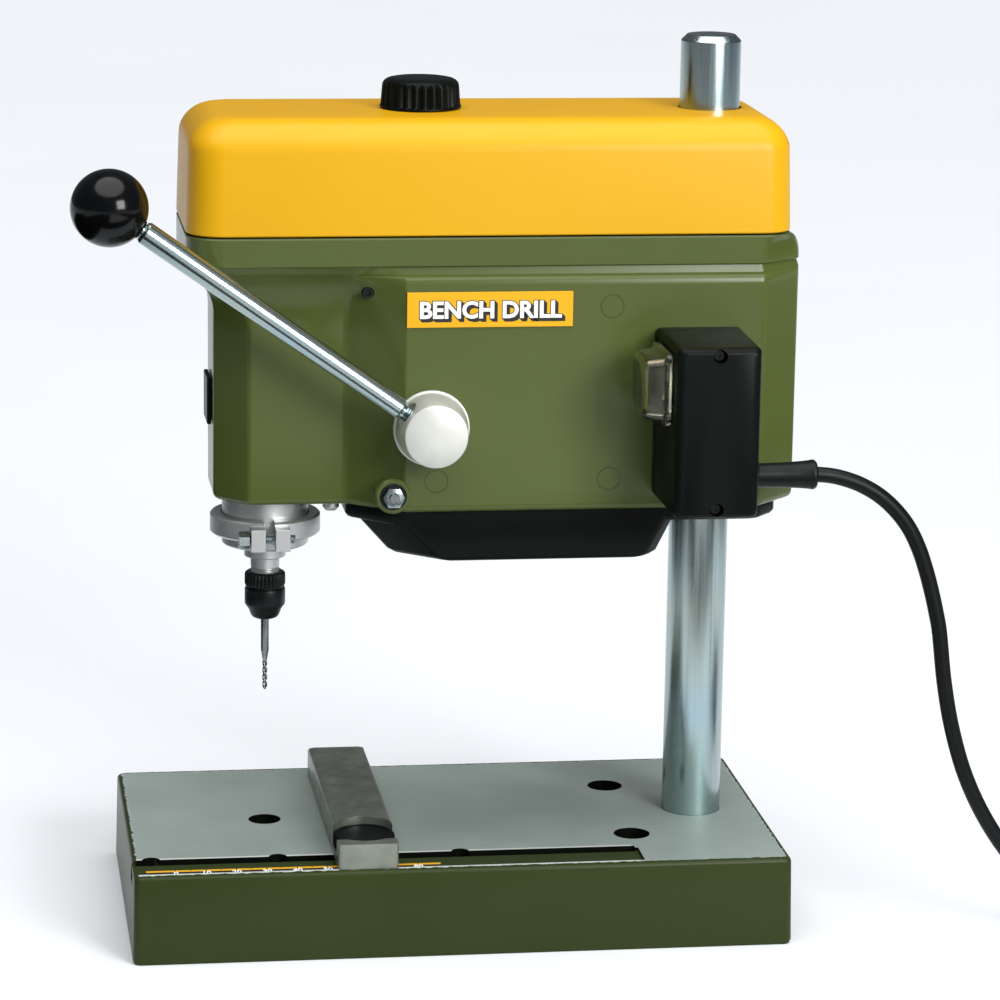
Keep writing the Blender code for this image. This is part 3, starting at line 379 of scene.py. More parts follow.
@dataclass(frozen=True)
class ClearFinish(Finish):
    """Soft clear vinyl: it lets light through with a warm tint, and its moulded skin is a little uneven."""

    def pattern(self, tree: bpy.types.NodeTree, shader: bpy.types.Node) -> None:
        """Wires a see-through shader with a faint relief."""
        where = self.place(tree)
        shader.inputs["Transmission Weight"].default_value = 1.0
        shader.inputs["Base Color"].default_value = linear(self.colour)
        ripple = self.noise(tree, where, self.grain_mm, 2.0)
        low, high = self.roughness - self.rough_spread, self.roughness + self.rough_spread
        tree.links.new(self.spread(tree, ripple, low, high), shader.inputs["Roughness"])
        tree.links.new(self.raised(tree, ripple, self.relief_mm, self.relief), shader.inputs["Normal"])


# Stoved enamel: a glossy skin with a faint orange peel of about 2 mm.
GREEN_ENAMEL = Finish(
    "green_stoved_enamel", "#4C5729", "#485326", 0.24, 0.02, mottle_mm=60, grain_mm=2.0,
    relief=0.05, relief_mm=0.03, specular=0.28,
)
# The same enamel on the iron base, over a coarser sand-cast skin, with painted shade: its colour is darker
# than on the head, for the less light that falls on the low base.
BASE_CASTING_PAINTED_SHADE = GroundCasting(
    "enamelled_ground_casting_painted_shade", "#2C3617", "#283213", 0.34, 0.03, mottle_mm=14, grain_mm=1.6,
    relief=0.08, relief_mm=0.03, specular=0.14,
)
# Moulded ABS: solid colour right through, and a satin skin from a lightly blasted mould.
YELLOW_ABS = Finish(
    "yellow_moulded_abs", "#D39F0E", "#CF9B0C", 0.36, 0.03, mottle_mm=50, grain_mm=0.5,
    relief=0.1, relief_mm=0.01, specular=0.22,
)
# Black ABS from a spark-eroded mould: a fine even pebble of about 0.3 mm, drawn at 0.5 mm so that it shows.
BLACK_ABS = Finish(
    "black_moulded_abs", "#090E0B", "#060A08", 0.36, 0.04, mottle_mm=30, grain_mm=0.5,
    relief=0.2, relief_mm=0.03, specular=0.09,
)
# Phenolic resin, buffed after moulding: deep gloss and almost no relief.
BLACK_PHENOLIC = Finish(
    "black_polished_phenolic", "#08090A", "#060708", 0.16, 0.03, mottle_mm=20, grain_mm=3.0,
    relief=0.03, relief_mm=0.02, specular=0.22,
)
BLACK_OXIDE = TurnedFinish(
    "black_oxide_turned_steel", "#1B1D1E", "#101213", 0.38, 0.08, 0.7, mottle_mm=4, ring_mm=0.3,
    rings=0.3, relief_mm=0.02,
)
ZINC_PLATE = PlatedFinish(
    "bright_zinc_plate", "#A3BDC9", "#7B8E94", 0.24, 0.1, 1.0, mottle_mm=38, relief=0.12, relief_mm=0.02,
)
# The small fasteners are barrel plated, so they are bright with no draw marks.
BRIGHT_PLATE = Finish(
    "barrel_plated_steel", "#B4BFC2", "#939EA1", 0.28, 0.08, 1.0, mottle_mm=2, grain_mm=0.5,
    relief=0.15, relief_mm=0.02,
)
DIE_CAST = Finish(
    "tumbled_die_cast_zinc", "#949A8E", "#6C7167", 0.4, 0.12, 0.75, mottle_mm=9, grain_mm=0.6,
    relief=0.35, relief_mm=0.05,
)
TURNED_STEEL = TurnedFinish(
    "turned_steel", "#8C9A90", "#6C7A70", 0.26, 0.1, 0.95, mottle_mm=6, ring_mm=0.35, rings=0.3,
    relief_mm=0.02,
)
TURNED_ALUMINIUM = TurnedFinish(
    "turned_aluminium", "#DFE0DA", "#CBCDC6", 0.4, 0.1, 0.7, mottle_mm=10, ring_mm=0.45, rings=0.35,
    relief_mm=0.02,
)
TOOL_STEEL = Finish(
    "ground_tool_steel", "#8B9193", "#666C6E", 0.25, 0.08, 1.0, mottle_mm=3, grain_mm=0.4,
    relief=0.2, relief_mm=0.02,
)
CLEAR_VINYL = ClearFinish(
    "clear_soft_vinyl", "#EFEBD8", "#E4DFC8", 0.14, 0.05, grain_mm=4.0, relief=0.2, relief_mm=0.1, ior=1.46,
)
# Plasticised PVC: a dull sheen, and the slight waviness of an extruded sleeve.
CORD_PVC = Finish(
    "black_flexible_pvc", "#0E1111", "#0A0D0D", 0.4, 0.06, mottle_mm=18, grain_mm=0.9,
    relief=0.15, relief_mm=0.03, specular=0.16,
)
BELT_RUBBER = Finish(
    "belt_rubber", "#26221F", "#1B1816", 0.6, 0.08, mottle_mm=8, grain_mm=0.5, relief=0.3, relief_mm=0.04,
)
PRINT_YELLOW = Finish(
    "printed_film_yellow", "#DFA71C", "#DAA219", 0.28, 0.04, mottle_mm=25, grain_mm=1.0, specular=0.2
)
PRINT_BLACK = Finish("printed_ink_black", "#141412", "#0F0F0E", 0.3, 0.04, mottle_mm=10, grain_mm=0.8)
PRINT_WHITE = Finish("printed_ink_white", "#F2F1EA", "#E8E7DF", 0.32, 0.04, mottle_mm=10, grain_mm=0.8)
# Cotton velvet on the cards that keep the floor's light off the sides.
BLACK_VELVET = Finish(
    "black_cotton_velvet", "#0B0C0A", "#080907", 0.9, 0.05, mottle_mm=60, grain_mm=3, specular=0.1
)
PAPER_FLOOR = Finish(
    "pale_paper_floor", "#E0E3E6", "#DDE0E3", 0.75, 0.04, mottle_mm=400, grain_mm=3, relief=0.03,
    relief_mm=0.05,
)

SLOT_FINISH: dict[str, Finish] = {
    "base_enamel": BASE_CASTING_PAINTED_SHADE,
    "head_enamel": GREEN_ENAMEL,
    "yellow_abs": YELLOW_ABS,
    "black_plastic": BLACK_ABS,
    "clear_vinyl": CLEAR_VINYL,
    "turned_steel": TOOL_STEEL,
    "black_oxide_steel": BLACK_OXIDE,
    "zinc_plate": ZINC_PLATE,
    "die_cast_zinc": DIE_CAST,
    "aluminium": TURNED_ALUMINIUM,
    "rubber": BELT_RUBBER,
}


# Shaping


@dataclass(frozen=True)
class Extent:
    """The box of a CAD node at rest, in millimetres."""

    left: float
    front: float
    foot: float
    right: float
    back: float
    top: float

    @classmethod
    def of(cls, node: str) -> Extent:
        """Reads a node's box from the frame."""
        low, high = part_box(node)
        return cls(*(value / MM for value in (*low, *high)))

    @property
    def middle(self) -> Vector:
        """The middle of the box."""
        return Vector((self.left + self.right, self.front + self.back, self.foot + self.top)) / 2

    @property
    def wide(self) -> float:
        """Its size along X."""
        return self.right - self.left

    @property
    def deep(self) -> float:
        """Its size along Y."""
        return self.back - self.front

    @property
    def high(self) -> float:
        """Its size along Z."""
        return self.top - self.foot


def link(name: str, mesh: bpy.types.Mesh, at: Sequence[float] = (0, 0, 0)) -> bpy.types.Object:
    """Puts a mesh in the scene as an object whose place is in millimetres."""
    made = bpy.data.objects.new(name, mesh)
    made.location = Vector(at) * MM
    bpy.context.scene.collection.objects.link(made)
    return made


def from_bmesh(name: str, bm: bmesh.types.BMesh, at: Sequence[float] = (0, 0, 0)) -> bpy.types.Object:
    """Turns a bmesh in metres into an object, with its faces turned outwards."""
    bmesh.ops.recalc_face_normals(bm, faces=bm.faces)
    mesh = bpy.data.meshes.new(name)
    bm.to_mesh(mesh)
    bm.free()
    return link(name, mesh, at)


def smooth(piece: bpy.types.Object, angle: float = 32.0) -> bpy.types.Object:
    """Shades a mesh smooth, except across edges sharper than the angle in degrees."""
    mesh = piece.data
    mesh.polygons.foreach_set("use_smooth", [True] * len(mesh.polygons))
    mesh.set_sharp_from_angle(angle=math.radians(angle))
    return piece


def soften(piece: bpy.types.Object, width: float, segments: int = 3, angle: float = 42.0) -> bpy.types.Object:
    """Rounds a piece's edges with a bevel that stays on it.

    Args:
        piece: the mesh object.
        width: the rounding in millimetres.
        segments: the steps in the rounding.
        angle: edges sharper than this, in degrees, are rounded.

    Returns:
        The same object.
    """
    bevel = piece.modifiers.new("Rounding", "BEVEL")
    bevel.width = width * MM
    bevel.segments = segments
    bevel.limit_method = "ANGLE"
    bevel.angle_limit = math.radians(angle)
    bevel.harden_normals = True
    return piece


def settle(piece: bpy.types.Object) -> bpy.types.Object:
    """Makes a piece's modifiers part of its mesh."""
    bpy.context.view_layer.update()
    graph = bpy.context.evaluated_depsgraph_get()
    mesh = bpy.data.meshes.new_from_object(piece.evaluated_get(graph))
    old = piece.data
    piece.modifiers.clear()
    piece.data = mesh
    if isinstance(old, bpy.types.Mesh):
        bpy.data.meshes.remove(old)
    return piece


def combine(piece: bpy.types.Object, others: Iterable[bpy.types.Object], operation: str) -> bpy.types.Object:
    """Cuts or joins other solids into a piece, and removes them."""
    used = list(others)
    for other in used:
        step = piece.modifiers.new(operation, "BOOLEAN")
        step.object = other
        step.operation = operation
        step.solver = "EXACT"
    settle(piece)
    for other in used:
        bpy.data.objects.remove(other, do_unlink=True)
    return piece


def carve(piece: bpy.types.Object, *cutters: bpy.types.Object) -> bpy.types.Object:
    """Cuts each cutter out of a piece."""
    return combine(piece, cutters, "DIFFERENCE")


def weld(piece: bpy.types.Object, *others: bpy.types.Object) -> bpy.types.Object:
    """Joins solids to a piece."""
    return combine(piece, others, "UNION")


def loft(name: str, rings: Sequence[Sequence[Sequence[float]]], hollow: bool = False) -> bpy.types.Object:
    """A skin through closed rings of equally many points.

    Args:
        name: the piece's name.
        rings: the rings, in order, in millimetres.
        hollow: joins the last ring to the first instead of closing both with faces.

    Returns:
        The new object.
    """
    bm = bmesh.new()
    rows = [[bm.verts.new(Vector(point) * MM) for point in ring] for ring in rings]
    pairs = list(zip(rows, rows[1:]))
    if hollow:
        pairs.append((rows[-1], rows[0]))
    count = len(rows[0])
    for lower, upper in pairs:
        for i in range(count):
            j = (i + 1) % count
            bm.faces.new((lower[i], lower[j], upper[j], upper[i]))
    if not hollow:
        bm.faces.new(rows[0])
        bm.faces.new(rows[-1])
    return from_bmesh(name, bm)


def turned(
    name: str,
    profile: Plan,
    at: Sequence[float] = (0, 0, 0),
    axis: Sequence[float] = (0, 0, 1),
    steps: int = 64,
    ring: bool = False,
) -> bpy.types.Object:
    """A turned piece with its own Z on its axis.

    Args:
        name: the piece's name.
        profile: radius and height in millimetres, from one end to the other.
        at: where the profile's zero height is.
        axis: the direction of growing height.
        steps: the sides of a round.
        ring: closes the profile on itself, for a piece with a hole.

    Returns:
        The new object.
    """
    bm = bmesh.new()
    rows = []
    for radius, height in profile:
        if radius < 1e-6:
            rows.append([bm.verts.new((0, 0, height * MM))])
            continue
        turn = [2 * math.pi * i / steps for i in range(steps)]
        rows.append(
            [bm.verts.new(Vector((radius * math.cos(a), radius * math.sin(a), height)) * MM) for a in turn]
        )
    pairs = list(zip(rows, rows[1:]))
    if ring:
        pairs.append((rows[-1], rows[0]))
    for first, second in pairs:
        for i in range(steps):
            j = (i + 1) % steps
            corners = [
                first[i % len(first)], first[j % len(first)], second[j % len(second)], second[i % len(second)]
            ]
            bm.faces.new(list(dict.fromkeys(corners)))
    if not ring:
        for row in (rows[0], rows[-1]):
            if len(row) > 1:
                bm.faces.new(row)
    made = from_bmesh(name, bm, at)
    made.rotation_euler = Vector((0, 0, 1)).rotation_difference(Vector(axis)).to_euler()
    return made


def bar(
    name: str, radius: float, start: Sequence[float], end: Sequence[float], steps: int = 48
) -> bpy.types.Object:
    """A plain bar between two points, mostly to cut with."""
    run = Vector(end) - Vector(start)
    return turned(name, [(radius, 0), (radius, run.length)], start, run, steps)


def box(name: str, low: Sequence[float], high: Sequence[float]) -> bpy.types.Object:
    """A box between two corners in millimetres."""
    low, high = Vector(low), Vector(high)
    bm = bmesh.new()
    bmesh.ops.create_cube(bm, size=1.0)
    bmesh.ops.scale(bm, vec=(high - low) * MM, verts=bm.verts)
    bmesh.ops.translate(bm, vec=(high + low) / 2 * MM, verts=bm.verts)
    return from_bmesh(name, bm)


def eased(profile: Plan, radius: float, steps: int = 3, closed: bool = False) -> Plan:
    """Rounds the corners of an outline or profile.

    Args:
        profile: its points.
        radius: the rounding, made smaller where two corners are close.
        steps: the points added along each rounding.
        closed: also rounds the first and last corners.

    Returns:
        The points of the rounded outline.
    """
    return eased_each(profile, [radius] * len(profile), steps, closed)


def eased_each(profile: Plan, radii: Sequence[float], steps: int = 3, closed: bool = True) -> Plan:
    """Rounds each corner of an outline by its own radius, always with equally many points."""
    count = len(profile)
    made: Plan = []
    for i, (point, radius) in enumerate(zip(profile, radii)):
        if not closed and i in (0, count - 1):
            made.append(point)
            continue
        corner = Vector(point)
        before = Vector(profile[i - 1]) - corner
        after = Vector(profile[(i + 1) % count]) - corner
        turn = before.angle(after, math.pi)
        reach = min(radius / max(math.tan(turn / 2), 1e-4), before.length * 0.498, after.length * 0.498)
        start, end = corner + before.normalized() * reach, corner + after.normalized() * reach
        for k in range(steps + 1):
            t = k / steps
            # A curve that leaves and arrives along the two sides, close to an arc.
            weight = math.sin(turn / 2) * 2
            top = start * (1 - t) ** 2 + corner * weight * t * (1 - t) + end * t * t
            made.append(tuple(top / ((1 - t) ** 2 + weight * t * (1 - t) + t * t)))
    return made


def mirrored(half: Plan) -> Plan:
    """A whole outline from its half at positive Y."""
    return list(half) + [(x, -y) for x, y in reversed(half)]


def rectangle(left: float, right: float, front: float, back: float) -> Plan:
    """The four corners of a rectangle."""
    return [(left, front), (right, front), (right, back), (left, back)]


def at_height(outline: Plan, z: float) -> list[Point]:
    """An outline in plan at one height."""
    return [(x, y, z) for x, y in outline]


def dress(
    piece: bpy.types.Object,
    finish: Finish,
    body: Body,
    slot: str,
    *nodes: str,
    angle: float = 32.0,
) -> bpy.types.Object:
    """Finishes a piece: material, shading, body and the CAD nodes that it stands for.

    Args:
        piece: the object.
        finish: its finish.
        body: the body that it rides on.
        slot: the record's material slot; not used.
        nodes: the CAD nodes that it replaces.
        angle: the sharpest edge, in degrees, that is shaded smooth.

    Returns:
        The same object.
    """
    piece.data.materials.clear()
    piece.data.materials.append(finish.build())
    smooth(piece, angle)
    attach(piece, body.value)
    if nodes:
        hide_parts(*nodes)
    LOG.info("%s in %s on %s", piece.name, finish.name, body.value)
    return piece


# The machine


@dataclass
class Base:
    """The cast base with its ground table, T-slot, ledge, scale and holes."""

    draft: float = 0.6
    corner: float = 2.4
    slot_y: float = -42.5
    slot_half: float = 1.5
    slot_end: float = 59.0
    ledge_front: float = -56.0
    ledge_deep: float = 1.0
    relief_r: float = 5.5
    hole_r: float = 6.1
    hole_x: float = 60.5
    hole_y: float = 27.5
    spindle_x: float = -62.0
    numeral_high: float = 3.1

    def build(self) -> None:
        """Builds the casting, the scale and its print."""
        size = Extent.of("base_plate")
        self.casting(size)
        self.scale(Extent.of("scale_strip"))

    def casting(self, size: Extent) -> None:
        """Cuts the table's features into a drafted block."""
        top = size.top
        levels = [(0.6, 0.6), (0.0, 1.4)]
        levels += [
            (self.draft + 1.5 * (1 - math.cos(a)), top - 1.5 * (1 - math.sin(a))) for a in (0, 0.4, 0.8, 1.2)
        ]
        levels += [(self.draft + 1.5, top)]
        levels[0] = (0.5, size.foot)
        rings = []
        for inset, z in levels:
            corners = rectangle(size.left + inset, size.right - inset, size.front + inset, size.back - inset)
            rings.append(at_height(eased(corners, self.corner, 6, True), z))
        casting = loft("base_casting", rings)
        over, floor = top + 2, top - 7
        column = Extent.of("column")
        # The four hollows under the table, either side of its ribs.
        hollows = [
            box(f"hollow_{x}_{y}", (low_x, low_y, -2), (high_x, high_y, top - 14))
            for x, (low_x, high_x, near) in enumerate(((-103, -4, 10), (4, 50, 4)))
            for y, (low_y, high_y) in enumerate(((near, 53), (-53, -near)))
        ]
        bores = [(self.spindle_x, 0.0, self.relief_r), (self.hole_x, self.hole_y, self.hole_r)]
        bores += [(self.hole_x, -self.hole_y, self.hole_r)]
        end = self.slot_end
        neck = [
            box("neck", (size.left - 2, self.slot_y - self.slot_half, floor),
            (end, self.slot_y + self.slot_half, over))
        ]
        neck += [box("wide", (size.left - 2, self.slot_y - 4.5, floor), (end, self.slot_y + 4.5, floor + 4))]
        neck += [
            box("ledge", (size.left - 2, self.ledge_front, top - self.ledge_deep),
            (end + 1, self.slot_y - 0.5, over))
        ]
        # Three notches that break the slot's back edge, where the nut drops in.
        for middle in (-103.0, -61.0, 0.0):
            neck.append(
                bar("notch", 3.0, (middle, self.slot_y + 1.2, floor), (middle, self.slot_y + 1.2, over), 24)
            )
        carve(
            casting,
            *hollows,
            *neck,
            *(bar("bore", r, (x, y, -2), (x, y, over), 56) for x, y, r in bores),
            bar("socket", column.wide / 2 + 0.1, (column.middle.x, 0, column.foot - 0.3),
            (column.middle.x, 0, over), 96),
            bar("set_screw_way", 3.2, (column.middle.x, 0, 20), (column.middle.x, size.back + 2, 20), 32),
        )
        soften(casting, 0.35, 2, 50)
        dress(casting, BASE_CASTING_PAINTED_SHADE, Body.BASE, "base_enamel", "base_plate")

    def scale(self, size: Extent) -> None:
        """Lays the yellow rule on the ledge, with ticks and numerals at every 10 mm."""
        strip = box("scale_rule", (size.left, size.front - 0.9, size.foot), (size.right, size.back, size.top))
        soften(strip, 0.08, 2)
        dress(strip, PRINT_BLACK, Body.BASE, "yellow_abs", "scale_strip")
        low = (size.left + 0.2, size.back - 1.7, size.top - 0.02)
        line = box("scale_line", low, (size.right - 0.2, size.back - 0.1, size.top + 0.02))
        dress(line, PRINT_YELLOW, Body.BASE, "yellow_abs")
        first, z = size.left + 9.9, size.top + 0.04
        ticks = bmesh.new()
        for step in range(17):
            x = first + step * 5
            if x > size.right - 0.5:
                break
            long = 1.5 if step % 2 == 0 else 0.9
            low, high = Vector((x - 0.14, size.back - long, z - 0.05)), Vector(
                (x + 0.14, size.back - 0.05, z)
            )
            cube = bmesh.ops.create_cube(ticks, size=1.0)["verts"]
            bmesh.ops.scale(ticks, vec=(high - low) * MM, verts=cube)
            bmesh.ops.translate(ticks, vec=(high + low) / 2 * MM, verts=cube)
        dress(from_bmesh("scale_ticks", ticks), PRINT_BLACK, Body.BASE, "yellow_abs")
        for tens in range(9):
            x = first + tens * 10
            if x < size.right - 2:
                digits = lettering(str(tens * 10), self.numeral_high, 0.1, 0.2)
                spread = Matrix.Diagonal((1, 1.35, 1, 1))
                digits.transform(Matrix.Translation(Vector((x, size.front - 1.1, z - 0.15)) * MM) @ spread)
                dress(link(f"scale_numeral_{tens}", digits), PRINT_WHITE, Body.BASE, "yellow_abs")


@dataclass
class Column:
    """The plated post."""

    chamfer: float = 2.0

    def build(self) -> None:
        """Turns the post with its chamfered end."""
        size = Extent.of("column")
        radius = size.wide / 2
        profile = [
            (0, size.high), (radius - self.chamfer, size.high), (radius, size.high - self.chamfer),
            (radius, 0), (0, 0)
        ]
        at = (size.middle.x, size.middle.y, size.foot)
        post = turned("plated_post", eased(profile, 0.5), at, steps=128)
        dress(post, ZINC_PLATE, Body.BASE, "zinc_plate", "column")


@dataclass
class Fence:
    """The die-cast fence with its thumb wheel."""

    wheel_y: float = -42.5
    flutes: int = 44

    def build(self) -> None:
        """Builds the fence and its wheel."""
        size = Extent.of("fence_bar")
        wheel = Extent.of("fence_wheel")
        self.casting(size, wheel)
        self.wheel(wheel)

    def casting(self, size: Extent, wheel: Extent) -> None:
        """Shapes the bar, the pocket round the wheel and the block in front of it."""
        x, radius = size.middle.x, wheel.wide / 2 + 0.7
        rings = []
        for inset, z in ((0.0, size.foot), (0.0, size.top - 1.2), (0.35, size.top - 0.4), (1.2, size.top)):
            corners = rectangle(size.left + inset, size.right - inset, size.front + inset, size.back - inset)
            rings.append(at_height(eased(corners, 1.2, 4, True), z))
        fence = loft("fence_casting", rings)
        floor, over = wheel.foot - 0.4, size.top + 2
        carve(
            fence,
            bar("pocket", radius, (x, self.wheel_y, floor), (x, self.wheel_y, over), 64),
            box("gap", (size.left - 2, size.front + 6, floor), (size.right + 2, self.wheel_y + 4, over)),
            box("step", (size.left - 2, size.front - 2, size.top - 1.4),
            (size.right + 2, size.front + 8, over)),
            bar("stud_way", 1.6, (x, self.wheel_y, size.foot - 2), (x, self.wheel_y, over), 24),
        )
        soften(fence, 0.55, 3, 40)
        dress(fence, DIE_CAST, Body.FENCE, "die_cast_zinc", "fence_bar")

    def wheel(self, size: Extent) -> None:
        """Cuts straight knurls round the thumb wheel."""
        radius = size.wide / 2
        middle = size.middle
        rings = []
        levels = (
            (0.0, 0.9), (0.5, 0.25), (0.9, 0.0), (size.high - 0.9, 0.0), (size.high - 0.35, 0.3),
            (size.high, 1.0)
        )
        for z, inset in levels:
            depth = 0.5 if inset < 0.5 else 0.15
            rings.append(knurled(middle, radius - inset, depth, self.flutes, size.foot + z))
        wheel = loft("thumb_wheel", rings)
        at = (middle.x, middle.y)
        carve(
            wheel,
            bar("wheel_bore", 1.5, (*at, size.foot - 1), (*at, size.top - 1.2), 32),
            turned("dish", [(0, 2), (8.6, 2), (8.3, -0.25), (2.2, -0.5), (0, -0.5)], (*at, size.top)),
        )
        dress(wheel, BLACK_ABS, Body.FENCE_WHEEL, "black_plastic", "fence_wheel", angle=40)


def knurled(middle: Vector, radius: float, depth: float, flutes: int, z: float, per: int = 6) -> list[Point]:
    """A ring with rounded flutes round a vertical axis."""
    made = []
    for i in range(flutes * per):
        angle = 2 * math.pi * i / (flutes * per)
        wave = 0.5 - 0.5 * math.cos(flutes * angle)
        reach = radius - depth * (1 - wave**0.6)
        made.append((middle.x + reach * math.cos(angle), middle.y + reach * math.sin(angle), z))
    return made


@dataclass
class Housing:
    """The head's green casting: a nose round the quill, a proud side panel, and a rim under the cover."""

    rim_half: float = 35.0
    rim_left: float = -90.0
    rim_right: float = 109.0
    rim_foot: float = 226.5
    left_r: float = 12.0
    right_r: float = 10.0
    panel_half: float = 38.0
    panel_left: float = -19.6
    panel_right: float = 99.0
    panel_top: float = 221.8
    step: float = 0.8
    nose_left: float = -80.3
    nose_face: float = 13.0
    nose_half: float = 24.0
    nose_corner: float = -69.5
    nose_back: float = -37.5
    bulge_half: float = 24.0
    flare_front: float = 208.0
    flare_front_r: float = 15.0
    flare_side: float = 203.0
    flare_side_r: float = 29.5
    wall: float = 3.2
    deck: float = 227.5
    marks: Plan = field(default_factory=lambda: [(48.0, 213.5), (-9.2, 156.0), (48.0, 156.0)])

    def outline(self, z: float, inset: float = 0.0) -> Plan:
        """The casting's plan at one height, with every corner rounded.

        Args:
            z: the height.
            inset: how far the whole outline is drawn in.

        Returns:
            The plan's points, equally many at every height.
        """
        size = Extent.of("head_housing")
        front_up = min(max(z - self.flare_front, 0), self.flare_front_r - 0.9)
        side_up = min(max(z - self.flare_side, 0), self.rim_foot - self.flare_side)
        front_out = self.flare_front_r - math.sqrt(self.flare_front_r**2 - front_up**2)
        side_out = self.flare_side_r - math.sqrt(self.flare_side_r**2 - side_up**2)
        part = min(side_out / (self.rim_half - self.nose_half), 1)
        nose_half = min(self.nose_half + side_out, self.rim_half)
        left = max(self.nose_left - front_out, self.rim_left)
        # The panel's top edge rounds over and stops at the recess under the rim.
        over = min(max((z - self.panel_top) / 2.2, 0), 1)
        panel = self.panel_half - (self.panel_half - self.rim_half) * (1 - math.sqrt(1 - over * over))
        if z >= self.rim_foot:
            panel = self.rim_half
        # The back end swells out with a shoulder close under the cover.
        rise = min(max((z - 227.5) / 8.0, 0), 1)
        swell = 1 - math.sqrt(1 - rise * rise)
        cut = 2 - math.sqrt(2)
        right = size.right + (self.rim_right - size.right) * swell
        blend = [
            (left, self.nose_face + (self.rim_half - self.left_r * cut - self.nose_face) * part),
            (
                self.nose_corner + (self.rim_left + self.left_r * cut - self.nose_corner) * part,
                nose_half,
            ),
            (self.nose_back, nose_half),
            (self.panel_left, panel),
            (self.panel_right + (self.rim_right - self.right_r * cut - self.panel_right) * swell, panel),
            (right, self.bulge_half + (self.rim_half - self.right_r * cut - self.bulge_half) * swell),
        ]
        signs = ((1, -0.4), (0.4, -1), (0.3, -1), (0.4, -1), (-0.4, -1), (-1, -0.4))
        half = [(x + dx * inset, y + dy * inset) for (x, y), (dx, dy) in zip(blend, signs)]
        nose_r = 2.6 + (self.left_r - 2.6) * part
        rear_r = 4.0 + (self.right_r - 4.0) * swell
        radii = [nose_r, nose_r, 5.0 + 8 * part, 1.8, rear_r, rear_r]
        return eased_each(mirrored(half), radii + radii[::-1], 6)

    def build(self) -> None:
        """Builds the casting, its boss, marks and fasteners."""
        size = Extent.of("head_housing")
        foot, top = size.foot, size.top
        levels = [
            (foot + 2.4 * (1 - math.cos(a)), 2.4 * (1 - math.sin(a))) for a in (0, 0.35, 0.75, 1.15, 1.571)
        ]
        levels += [(z, 0.0) for z in (175.0, 200.0)]
        levels += [(203.0 + i * 1.25, 0.0) for i in range(15)]
        levels += [(self.panel_top + 2.2 * math.sin(a), 0.0) for a in (0.3, 0.6, 0.9, 1.2, 1.57)]
        levels += [(self.rim_foot - 0.01, self.step), (self.rim_foot, 0.3), (self.rim_foot + 0.35, 0.0)]
        levels += [(self.rim_foot + i * 1.0, 0.0) for i in range(1, 9)] + [(top - 0.5, 0.0), (top, 0.4)]
        rings = [at_height(self.outline(z, inset), z) for z, inset in sorted(levels)]
        casting = loft("head_casting", rings)
        bolt = Extent.of("clamp_bolt")
        boss_x, boss_z = bolt.middle.x, bolt.middle.z
        boss = turned(
            "boss", [(0, 0), (5.9, 0), (5.9, 12.4), (5.3, 13), (0, 13)], (boss_x, -26, boss_z), (0, -1, 0)
        )
        weld(casting, boss)
        column = Extent.of("column")
        quill = Extent.of("quill_sleeve")
        axis_x = quill.middle.x
        well = [at_height(self.outline(z, self.wall), z) for z in (self.deck, top + 2)]
        bay = mirrored([(-35.5, 20.0), (-18.5, 31.0), (70.0, 31.0)])
        carve(
            casting,
            loft("well", well),
            loft("bay", [at_height(bay, z) for z in (foot - 2, 223.0)]),
            bar("quill_way", quill.wide / 2 + 0.1, (axis_x, 0, foot - 2), (axis_x, 0, 214), 96),
            bar("bearing_seat", 13.1, (axis_x, 0, 213), (axis_x, 0, self.deck + 1), 64),
            bar("column_way", column.wide / 2 + 0.1, (column.middle.x, 0, foot - 2),
            (column.middle.x, 0, top + 2), 96),
            bar("motor_way", 8, (26, 0, 222), (26, 0, self.deck + 1)),
            bar("stud_way", 3.2, (-11, 0, 222), (-11, 0, self.deck + 1), 32),
            bar("feed_way", 5.1, (-11, -40, 173.9), (-11, 40, 173.9)),
            bar("sector_way", 38.2, (-11, -5.5, 173.9), (-11, 5.5, 173.9), 96),
            box("rack_way", (axis_x, -4.5, foot - 2), (-45.2, 4.5, 213)),
            bar("bolt_way", 2.2, (boss_x, -41, boss_z), (boss_x, -24, boss_z), 24),
            bar("grub_way", 2.0, (-31.4, -40, 217.7), (-31.4, -24, 217.7), 32),
        )
        for x, z in self.marks:
            groove = turned(
                "groove", [(4.0, 0.25), (4.0, -1), (3.55, -1), (3.55, 0.25)], (x, -self.panel_half, z),
                (0, 1, 0), ring=True
            )
            carve(casting, groove)
        soften(casting, 0.3, 2, 50)
        dress(casting, GREEN_ENAMEL, Body.HEAD, "head_enamel", "head_housing", angle=38)
        self.fasteners(boss_x, boss_z)
        self.plates()

